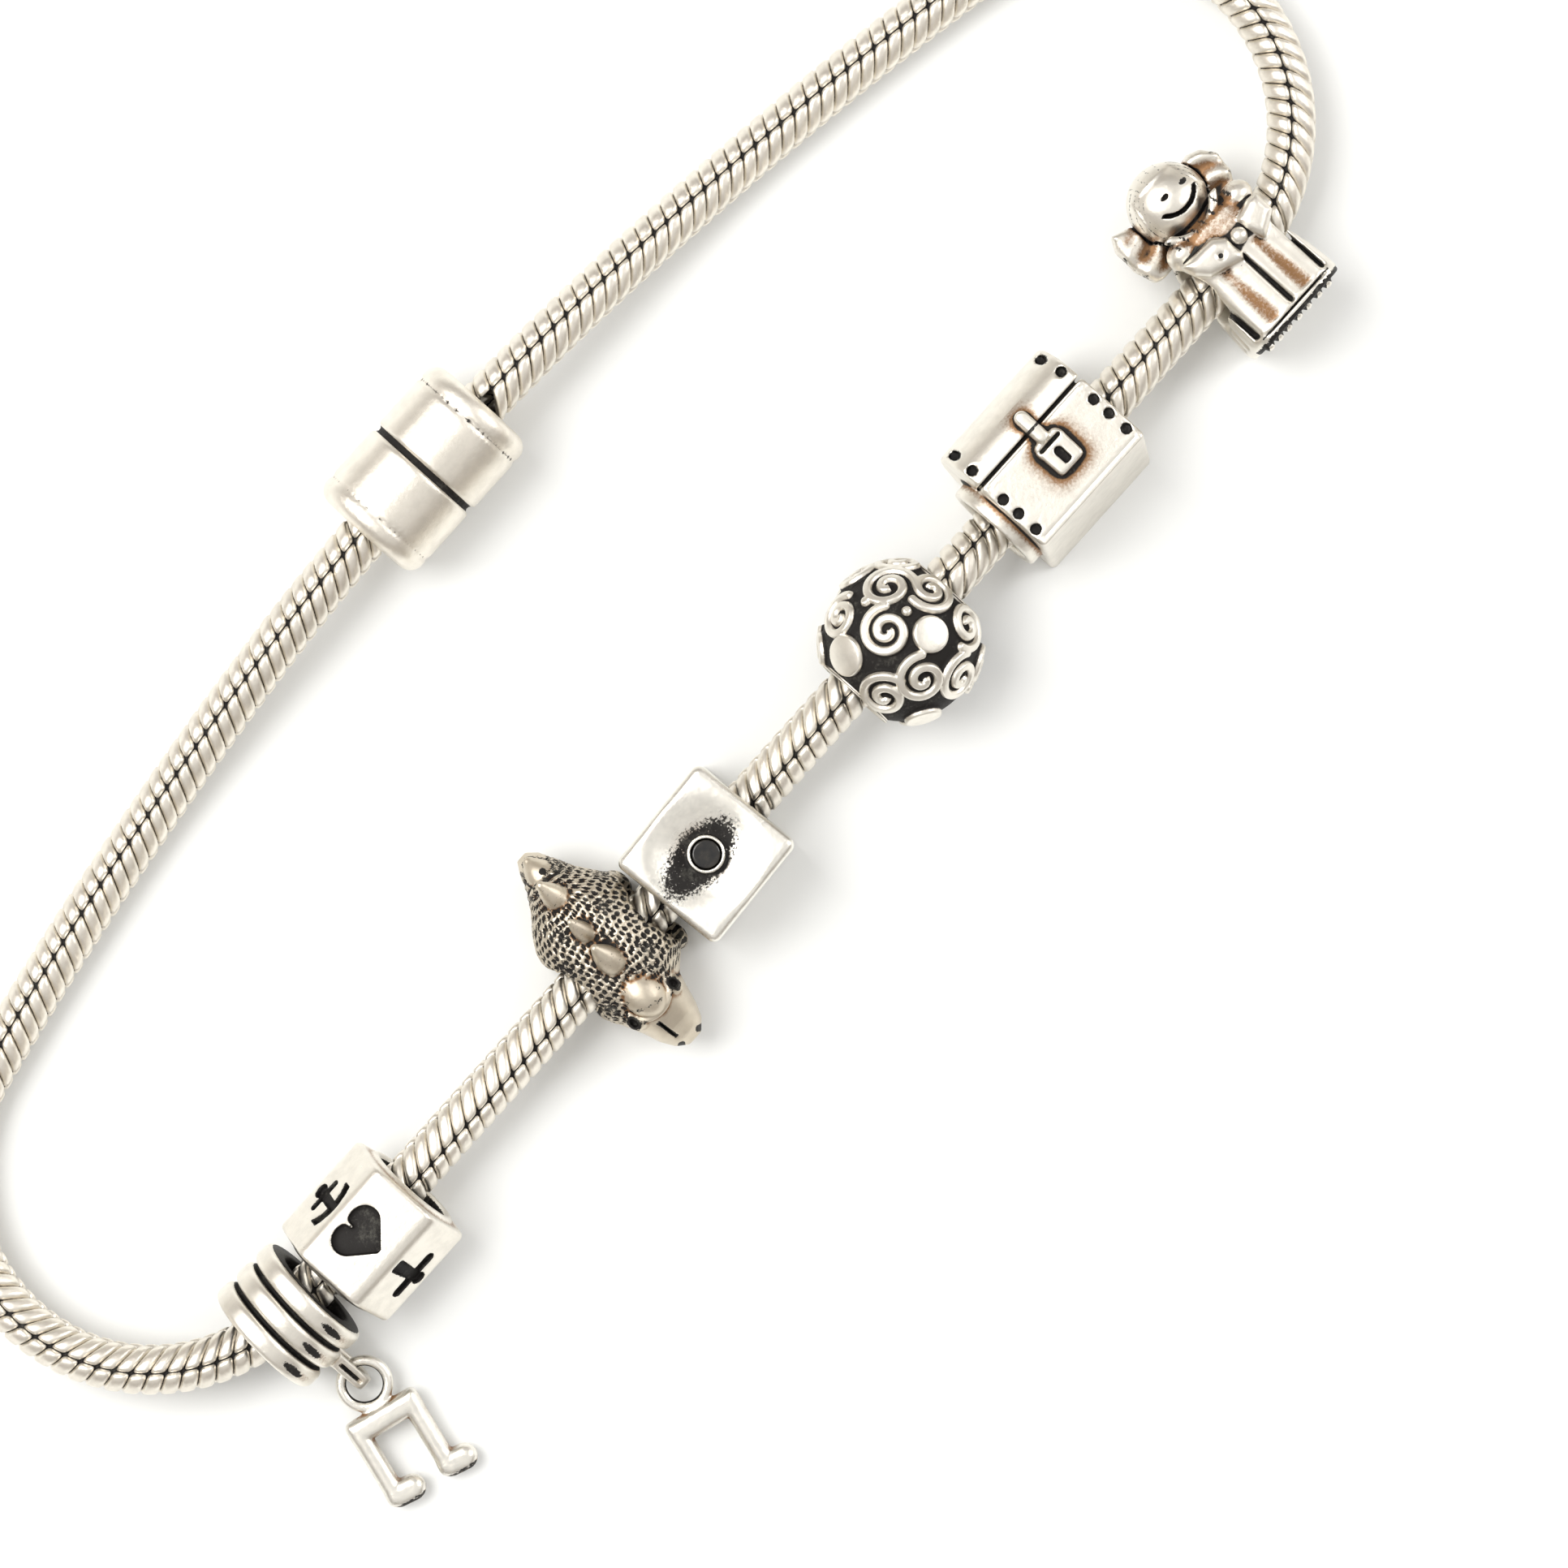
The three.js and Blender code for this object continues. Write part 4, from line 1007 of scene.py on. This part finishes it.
def scroll_ball():
    steps_around, steps_along = ((380, 150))
    limit = math.asin(ball_half / ball_radius)
    lift = np.linspace(-limit, limit, steps_along)
    turn = np.linspace(0, 2 * math.pi, steps_around, endpoint=False)
    lift, turn = np.meshgrid(lift, turn, indexing="ij")
    directions = np.stack([np.sin(lift), -np.cos(lift) * np.sin(turn), np.cos(lift) * np.cos(turn)], -1)
    distance = ball_relief(directions.reshape(-1, 3)).reshape(lift.shape)
    rise = smooth(0.5 - distance / relief_wall)
    edge = smooth((limit - np.abs(lift)) / 0.05)
    radius = ball_radius - relief + relief * rise * (0.4 + 0.6 * edge)
    points = (directions * radius[..., None]).reshape(-1, 3)
    hollow = (1.25 - 1.6 * rise).ravel()
    # The flat ends and the bore close the shell: rings at each end, then down the bore
    ends = []
    for side in (-1, 1):
        for ring_radius, inset in end_rings:
            x = side * (ball_half - inset)
            t = turn[0]
            ends.append(np.stack([0 * t + x, -ring_radius * np.sin(t), ring_radius * np.cos(t)], -1))
    rings = len(end_rings)
    ends = ends[:rings][::-1] + ends[rings:]
    loops = [np.arange(steps_around) + k * steps_around for k in range(steps_along)]
    base = steps_along * steps_around
    for k, ring in enumerate(ends):
        points = np.concatenate([points, ring])
        loops.append(np.arange(steps_around) + base + k * steps_around)
    near_end, far_end = loops[steps_along:steps_along + rings], loops[steps_along + rings:]
    order = loops[:steps_along] + far_end + near_end + [loops[0]]
    quads = []
    for a, b in zip(order[:-1], order[1:]):
        quads.append(np.stack([a, np.roll(a, -1), np.roll(b, -1), b], -1))
    ring_hollow = np.tile(np.repeat(end_hollows, steps_around), 2)
    return points, np.concatenate(quads), np.concatenate([hollow, ring_hollow])


ball_points, ball_quads, ball_hollow = scroll_ball()
ball_at = np.array(place_on_run(10.3, -0.4, ball_radius))
no_mark = np.zeros(len(ball_points))
ball_piece = build_mesh("ball_scrolls", ball_points + ball_at, [facing_out(ball_points, ball_quads)],
                        {"hollow": ball_hollow, "ink": no_mark, "brown": no_mark + 0.05})
finish_piece(ball_piece, cast_silver, "cast_silver", "scroll_ball")

# Treasure chest: one casting that lies on its back, with a domed lid, a deep seam, riveted straps,
# a raised hasp and padlock in a dark halo, and a collar round its bore on one side.
chest_half = 4.22
chest_deep = 3.9
seam_y = 2.1
chest_bottom = -2.75
chest_flare = 1.35
lid_rise = 2.8
rivets = [(3.75, 0.69), (3.75, -0.46), (3.75, -1.75), (3.7, 3.05), (3.6, 4.35)]
rivet_radius = 0.3
lock_x = 0.28
hasp_line = ((0.24, 2.95), (0.24, 1.45))
hasp_half = 0.41
collar_radius = 2.95


def chest_outline(y, z):
    """The chest's side view: a box that flares to its back, under an elliptic lid."""
    slope = chest_flare * (chest_deep - z) / (2 * chest_deep)
    lower = np.maximum(np.maximum(chest_bottom - slope - y, y - seam_y), np.abs(z) - chest_deep)
    a = np.sqrt((z / chest_deep) ** 2 + ((y - seam_y) / lid_rise) ** 2)
    lid = np.maximum((a - 1) * lid_rise, seam_y - y)
    return join(lower, lid)


def chest(x, y, z):
    body = solid_from_flat(chest_outline(y, z), x, chest_half, 0.3)
    inner = box_field(x, y, z, (chest_half - 0.4, 9, chest_deep - 0.4), 0.1)
    body = cut(body, np.maximum(np.abs(y - seam_y) - 0.1, -inner), 0.06)
    front = z - chest_deep
    frame_line = np.abs(box_flat(x, y, (0, -0.33), (chest_half - 0.3, 2.1), 0.35)) - 0.03
    body = cut(body, np.maximum(frame_line, -front - 0.1), 0.05)
    lock = box_flat(x, y, (lock_x, 0.02), (0.95 + 0.02 * y, 0.95), 0.3)
    shoulder = bar_field(x, y, (-0.25, 0.95), (0.8, 0.95), 0.42)
    lock = join(lock, shoulder, 0.25)
    body = join(body, solid_from_flat(lock, front + 0.1, 0.62, 0.2), 0.06)
    slot = bar_field(x, y, (-0.42, 0.86), (0.98, 0.86), 0.11)
    keyhole = box_flat(x, y, (lock_x, -0.2), (0.24, 0.4), 0.1)
    keyhole = join(np.hypot(x - lock_x, y - 0.2) - 0.26, keyhole, 0.05)
    body = cut(body, np.maximum(join(slot, keyhole), 0.12 - front), 0.04)
    hasp = bar_field(x, y, *hasp_line, hasp_half)
    body = join(body, solid_from_flat(hasp, front + 0.1, 0.86, 0.25), 0.04)
    for rx, ry in rivets:
        pit = np.sqrt((np.abs(x) - rx) ** 2 + (y - ry) ** 2) - rivet_radius
        body = cut(body, np.maximum(pit, -0.35 - chest_outline(ry, z)), 0.06)
    collar = solid_from_flat(np.hypot(y, z) - collar_radius, x + chest_half + 0.4, 0.5, 0.2)
    body = join(body, collar, 0.15)
    return cut(body, np.hypot(y, z) - bore_radius, 0.3)


def chest_paint(x, y, z):
    front = z > chest_deep - 0.75
    hasp = bar_field(x, y, *hasp_line, hasp_half)
    lock = np.minimum(box_flat(x, y, (lock_x, 0.25), (1.0, 1.3), 0.4), hasp)
    proud = z > chest_deep + 0.08
    halo = np.clip(1.1 - lock / 0.08, 0, 1) * front * ~proud
    # Brown that fades out over the front from the lock and hasp
    lock_brown = np.clip(1.15 - lock / 1.75, 0, 1) ** 1.2 * 0.62 * front * ~proud
    seam = np.clip(1.5 - np.abs(y - seam_y) / 0.1, 0, 0.8) * (np.abs(z) > chest_deep - 0.5)
    pits = 0 * x
    for rx, ry in rivets:
        pit = np.clip(2 - np.hypot(np.abs(x) - rx, y - ry) / 0.22, 0, 1.5)
        pits = np.maximum(pits, pit * (z > 0))
    keyhole = np.clip(2.2 - np.hypot((x - lock_x) / 0.24, y / 0.42), 0, 1.4)
    keyhole = keyhole * (z < chest_deep + 0.4) * front
    ink = np.maximum(np.maximum(halo, 0.9 * seam), np.maximum(pits, keyhole))
    side = np.clip((np.abs(x) - chest_half + 0.05) / 0.1, 0, 1)
    collar = smooth((-chest_half - x) / 0.1) * 0.5
    return {"ink": ink, "brown": np.maximum(lock_brown, np.maximum(0.2 * side, 1.3 * collar))}


chest_at = place_on_run(23.62, 0, chest_deep)
chest_piece = cast_piece("chest_cast", chest, (-5.3, -4.4, -4.1), (4.5, 5.2, 4.9), 0.105, chest_at,
                         paint=chest_paint)
finish_piece(chest_piece, cast_silver, "cast_silver", "treasure_chest")

# Angel: a small smiling figure cast in one piece that lies face up, wings spread behind its head,
# hands joined in bell sleeves over a pleated dress. The chain passes through at its elbows.
angel_bore_height = 3.5

# Dress from the neck to the hem: along, middle, half width, back, front
dress_sections = np.array([
    (3.3, 0.0, 1.5, 1.2, 5.4),
    (2.6, 0.05, 2.6, 0.4, 6.3),
    (1.6, 0.1, 3.1, 0.1, 6.6),
    (0.6, 0.1, 3.15, 0.0, 6.6),
    (-0.6, 0.05, 3.15, 0.0, 6.6),
    (-2.0, 0.0, 3.25, 0.0, 6.6),
    (-3.4, -0.02, 3.38, 0.0, 6.6),
    (-4.2, -0.04, 3.42, 0.0, 6.6),
    (-4.55, -0.04, 3.3, 0.05, 6.5),
    (-4.62, -0.04, 3.2, 0.2, 6.4),
])[::-1]
# Folds down the front: across, half width, depth; the wide ones are brown
pleats = [
    (-2.79, 0.13, 0.45),
    (-1.47, 0.5, 0.16),
    (-0.05, 0.14, 0.42),
    (1.12, 0.5, 0.16),
    (2.55, 0.13, 0.4),
]
side_pleats = [(-2.4, 0.25), (-0.9, 0.3), (0.6, 0.25), (1.9, 0.2)]
face_at = (-0.35, 4.96, 4.05)
face_radius = 2.34
eye_marks = [(-0.54, 5.28), (0.86, 5.16)]
smile_middle = (-0.08, 5.62)
smile_radius = 1.6
hem_y = -4.12
scallops = (-2.7, -1.96, -1.23, -0.39, 0.39, 1.27, 2.05)

# Outlines seen from above: across, along
left_sleeve = [(-2.89, 2.0), (-0.59, 1.84), (0.09, 1.25), (0.05, -0.02), (-0.2, -0.36), (-2.16, 0.37),
               (-2.74, 1.1)]
right_sleeve = [(1.1, 1.5), (2.35, 1.84), (3.03, 1.74), (2.98, 0.37), (1.46, -0.41), (1.0, 0.76)]
left_wing = [(-3.9, 6.2), (-4.45, 5.3), (-4.5, 3.7), (-4.2, 2.5), (-3.5, 1.75), (-2.4, 2.1),
             (-1.6, 3.4), (-2.2, 5.6)]
right_wing = [(1.4, 6.0), (2.4, 6.15), (3.2, 5.8), (3.75, 4.9), (3.6, 3.7), (2.95, 2.6), (1.6, 2.4),
              (1.0, 4.0)]


def polygon(x, y, corners):
    """Distance in a plane to a closed outline through the corners."""
    nearest = 81.0
    inside = 1.0
    for (x0, y0), (x1, y1) in zip(corners, corners[1:] + corners[:1]):
        dx, dy = x1 - x0, y1 - y0
        share = np.clip(((x - x0) * dx + (y - y0) * dy) / (dx * dx + dy * dy), 0, 1)
        nearest = np.minimum(nearest, (x - x0 - share * dx) ** 2 + (y - y0 - share * dy) ** 2)
        crossed = ((y0 > y) != (y1 > y)) & (x < x0 + (y - y0) * dx / (dy if dy else 1e-9))
        inside = inside * np.where(crossed, -1.0, 1.0)
    return np.sqrt(nearest) * inside


def pleat_depth(x, y, z):
    below = smooth((0.2 - y) / 0.5) * smooth((y + 4.0) / 0.25)
    front = smooth((z - 1.2) / 0.8)
    dip = 0
    for middle, half, deep in pleats:
        wide = half * (0.75 + 0.12 * np.clip(-y, 0, 4))
        dip = dip + deep * np.exp(-(((x - middle) / wide) ** 2))
    sides = 0
    for middle, half in side_pleats:
        sides = sides + 0.35 * np.exp(-(((z - middle) / half) ** 2))
    return below * (front * dip + smooth((np.abs(x) - 2.6) / 0.4) * (1 - front) * sides)


def wing_feathers(x, y):
    side = np.where(x < 0, 1.0, -1.0)
    return np.cos((y - 0.55 * side * x) * 4.2 + 1.2 * np.sin(1.7 * x))


def angel(x, y, z):
    up = z + angel_bore_height
    body = lofted(y, x, up, dress_sections, 3.6)
    body = body + pleat_depth(x, y, z)
    hem_line = np.maximum(np.abs(y - hem_y) - 0.05, np.abs(x) - 3.0)
    body = cut(body, np.maximum(hem_line, 2.75 - z), 0.08)
    for middle in scallops:
        scallop = ellipsoid(x, y, up, (middle, -4.62, 5.7), (0.3, 0.3, 0.45))
        body = join(body, scallop, 0.06)
    # Wings, behind the head
    for outline in (left_wing, right_wing):
        flat = polygon(x, y, outline) + 0.1
        sheet = up - 3.2 - 0.12 * np.abs(x) + 0.12 * wing_feathers(x, y)
        body = join(body, solid_from_flat(np.broadcast_to(flat, (x + y).shape), sheet, 0.75, 0.55), 0.12)
    # Shoulders, bell sleeves and joined hands
    for side in (-1, 1):
        shoulder = ellipsoid(x, y, up, (0.1 + side * 2.2, 2.4, 5.4), (1.0, 0.85, 1.1))
        body = join(body, shoulder, 0.15)
    for outline, lift in ((left_sleeve, 6.35), (right_sleeve, 6.3)):
        flat = np.broadcast_to(polygon(x, y, outline), (x + y).shape)
        body = join(body, solid_from_flat(flat, up - lift, 0.72, 0.62), 0.05)
    dimple = np.sqrt((x + 0.98) ** 2 + (y - 0.76) ** 2 + (up - 7.2) ** 2) - 0.3
    body = cut(body, dimple, 0.12)
    body = join(body, ellipsoid(x, y, up, (0.56, 0.78, 6.8), (0.5, 0.5, 0.42)), 0.05)
    collar = np.hypot(np.hypot((x - face_at[0]) / 1.08, y - 4.5) - 1.95, up - 6.0) - 0.26
    body = join(body, np.maximum(collar, y - 3.6), 0.08)
    # Head, hair, fringe, eyes and smile
    hx, hy, hz = x - face_at[0], y - face_at[1], up - face_at[2]
    head = np.sqrt(hx * hx + hy * hy + hz * hz) - face_radius + 0.06
    cap = hair_share(hx, hy)
    head = head - 0.08 * cap
    body = cut(body, head - 0.1, 0.08)
    body = join(body, head, 0.05)
    for ex, ey in eye_marks:
        body = cut(body, ellipsoid(x, y, up, (ex, ey, face_at[2] + 2.25), (0.24, 0.13, 0.25)), 0.04)
    smile = np.abs(np.hypot(x - smile_middle[0], y - smile_middle[1]) - smile_radius) - 0.1
    smile = np.maximum(smile, np.maximum(y - 4.62, 1.35 - hz))
    body = cut(body, smile, 0.06)
    body = cut(body, np.hypot(y, z) - bore_radius, 0.3)
    return np.maximum(body, -up)


def hair_share(hx, hy):
    """Where hair lies on the head: over the crown and down both cheeks."""
    cheeks = smooth((np.abs(hx + 0.05) - 1.78 + 0.25 * np.clip(hy, -1, 2)) / 0.15) * smooth((hy + 1.2) / 0.4)
    return np.maximum(cheeks, smooth((hy - 1.35) / 0.15))


def angel_paint(x, y, z):
    up = z + angel_bore_height
    hx, hy, hz = x - face_at[0], y - face_at[1], up - face_at[2]
    on_head = np.sqrt(hx * hx + hy * hy + hz * hz) < face_radius + 0.12
    eyes = 0 * x
    for ex, ey in eye_marks:
        eyes = np.maximum(eyes, np.clip(1.6 - np.hypot((x - ex) / 0.26, (y - ey) / 0.14), 0, 1.2))
    smile = np.abs(np.hypot(x - smile_middle[0], y - smile_middle[1]) - smile_radius)
    smile = np.clip(1.6 - smile / 0.13, 0, 1.2) * (y < 4.68)
    spread = np.hypot(hx, hy + 0.25)
    arcs = np.clip(-0.1 - np.cos((spread - 1.6) * 27), 0, 1) * (np.abs(hx - 0.2) > 1.25) * (hy > -1.3)
    phase = np.arctan2(hx * 1.1, hy + 3.4) * 52
    strokes = np.clip(-0.25 - np.cos(phase), 0, 1) * (np.abs(hx) < 1.25) * smooth((hy - 1.15) / 0.2)
    strands = np.maximum(arcs * smooth((spread - 1.62) / 0.1), strokes)
    face = on_head * (hz > -0.2) * np.maximum(np.maximum(eyes, smile), 0.6 * strands)
    # Painted shade under the chin: brown on the lower part of the head, and dark nearest the neck
    chin_shade = on_head * smooth((-1.45 - hy) / 0.5)
    neck = smooth((3.75 - y) / 0.3) * smooth((y - 2.3) / 0.4) * (np.abs(x + 0.1) < 2.6) * ~on_head
    bodice = smooth((2.9 - y) / 0.3) * smooth((y - 1.2) / 0.4) * (np.abs(x) < 2.0) * ~on_head
    sleeve = np.minimum(polygon(x, y, left_sleeve), polygon(x, y, right_sleeve))
    wing = np.minimum(polygon(x, y, left_wing), polygon(x, y, right_wing))
    sleeves = (sleeve < 0.04) & (up > 6.3)
    below = smooth((0.3 - y) / 0.3) * smooth((y + 4.0) / 0.15) * (z > 1.5) * ~sleeves
    narrow = 0 * x
    for middle, half, _ in pleats[::2]:
        narrow = np.maximum(narrow, np.exp(-(((x - middle) / (half * 1.1)) ** 2)))
    wide = 0 * x
    for middle, half, _ in pleats[1::2]:
        reach = half * (0.85 + 0.14 * np.clip(-y, 0, 4))
        wide = np.maximum(wide, np.exp(-(((x - middle) / reach) ** 4)))
    near_sleeve = np.clip(1 - sleeve / 0.9, 0, 1)
    neck_lines = np.clip(-np.cos(9 * x + 1.5 * y), 0, 1)
    ink = np.maximum(face, np.maximum(neck * (0.25 + 0.35 * neck_lines), below * narrow * 0.8))
    ink = np.maximum(ink, below * near_sleeve ** 2 * np.maximum(0.75 * wide, 0.45))
    ink = np.maximum(ink, 0.55 * bodice * ~sleeves * near_sleeve ** 2)
    hem = np.clip(1.5 - np.abs(y - hem_y) / 0.08, 0, 1) * (z > 2.6) * (np.abs(x) < 3.0)
    lace = 1.5 * (y < -4.4) * (up > 4.6)
    for middle in scallops:
        lace = lace * smooth((np.hypot((x - middle) / 0.26, (y + 4.9) / 0.34) - 0.75) / 0.2)
    wings = (wing < 0.15) & (up < 4.6) & ~on_head & (y > 1.9)
    feathers = np.clip(-0.3 - 0.6 * wing_feathers(x, y), 0, 1) + 0.45 * np.clip(1 + wing / 0.35, 0, 1)
    ink = np.maximum(np.maximum(ink, np.maximum(0.7 * hem, lace)), wings * np.clip(feathers, 0, 0.5))
    brown = np.maximum(0.7 * wings, np.maximum(0.85 * neck + 0.62 * bodice, below * wide * 0.72))
    brown = np.maximum(brown, 0.5 * chin_shade) * ~sleeves
    return {"ink": np.maximum(ink, 0.5 * chin_shade * (hy < -1.9)), "brown": brown}


angel_at = place_on_run(39.1, 0, angel_bore_height)
angel_piece = cast_piece("angel_cast", angel, (-5.0, -5.4, -3.7), (5.0, 7.8, 4.0), 0.095, angel_at,
                         paint=angel_paint)
finish_piece(angel_piece, cast_silver, "cast_silver", "angel")

# The surface under it: a plain pale sheet, lit softly from above by panels and a bright room, and
# seen from straight above.
photo_middle = place_on_run(0, -0.83, 3.2)
photo_width = 88.6
camera_height = 255.0
camera_turn = math.radians(-48)

bpy.ops.mesh.primitive_plane_add(size=3.0)
floor = bpy.context.object
floor.name = "pale_surface"
floor_material = bpy.data.materials.new("pale_surface")
floor_material.use_nodes = True
floor_tree = floor_material.node_tree
floor_shader = floor_tree.nodes["Principled BSDF"]
floor_shader.inputs["Roughness"].default_value = 0.75
floor_tone = blend_colours(floor_tree, noise(floor_tree, 6.0), (0.86, 0.875, 0.87, 1), (0.89, 0.90, 0.90, 1))
floor_tree.links.new(floor_tone.socket, floor_shader.inputs["Base Color"])
floor.data.materials.append(floor_material)

world = bpy.data.worlds.new("bright_room")
world.use_nodes = True
bpy.context.scene.world = world
world_tree = world.node_tree
room = world_tree.nodes["Background"]
toward = add_node(world_tree, "ShaderNodeTexCoord", output="Generated")
rise = add_node(world_tree, "ShaderNodeSeparateXYZ", {}, [toward], output="Z")
room_tone = blend_colours(world_tree, rise.between(0.0, 0.8), (0.30, 0.25, 0.205, 1), (1.0, 0.985, 0.96, 1))
world_tree.links.new(room_tone.socket, room.inputs["Color"])
room.inputs["Strength"].default_value = 0.84


def light_panel(name, at, size, power, colour):
    data = bpy.data.lights.new(name, "AREA")
    data.shape = "RECTANGLE"
    data.size, data.size_y = size
    data.energy = power
    data.color = colour
    lamp = bpy.data.objects.new(name, data)
    lamp.location = Vector(at)
    lamp.rotation_mode = "QUATERNION"
    lamp.rotation_quaternion = Vector(at).to_track_quat("Z", "Y")
    bpy.context.scene.collection.objects.link(lamp)


light_panel("panel_above", (-0.12, 0.25, 0.42), (0.34, 0.34), 2.05, (1.0, 0.985, 0.96))
light_panel("panel_side", (0.42, -0.2, 0.25), (0.2, 0.3), 0.8, (1.0, 1.0, 1.0))

camera_data = bpy.data.cameras.new("from_above")
camera_data.sensor_width = 36.0
camera_data.lens = 36.0 * camera_height / photo_width
camera_data.clip_start = 0.01
camera = bpy.data.objects.new("from_above", camera_data)
camera.location = Vector((photo_middle[0], photo_middle[1], photo_middle[2] + camera_height)) * MM
camera.rotation_euler = (0, 0, camera_turn)
bpy.context.scene.collection.objects.link(camera)
bpy.context.scene.camera = camera
bpy.context.scene.view_settings.view_transform = "Standard"
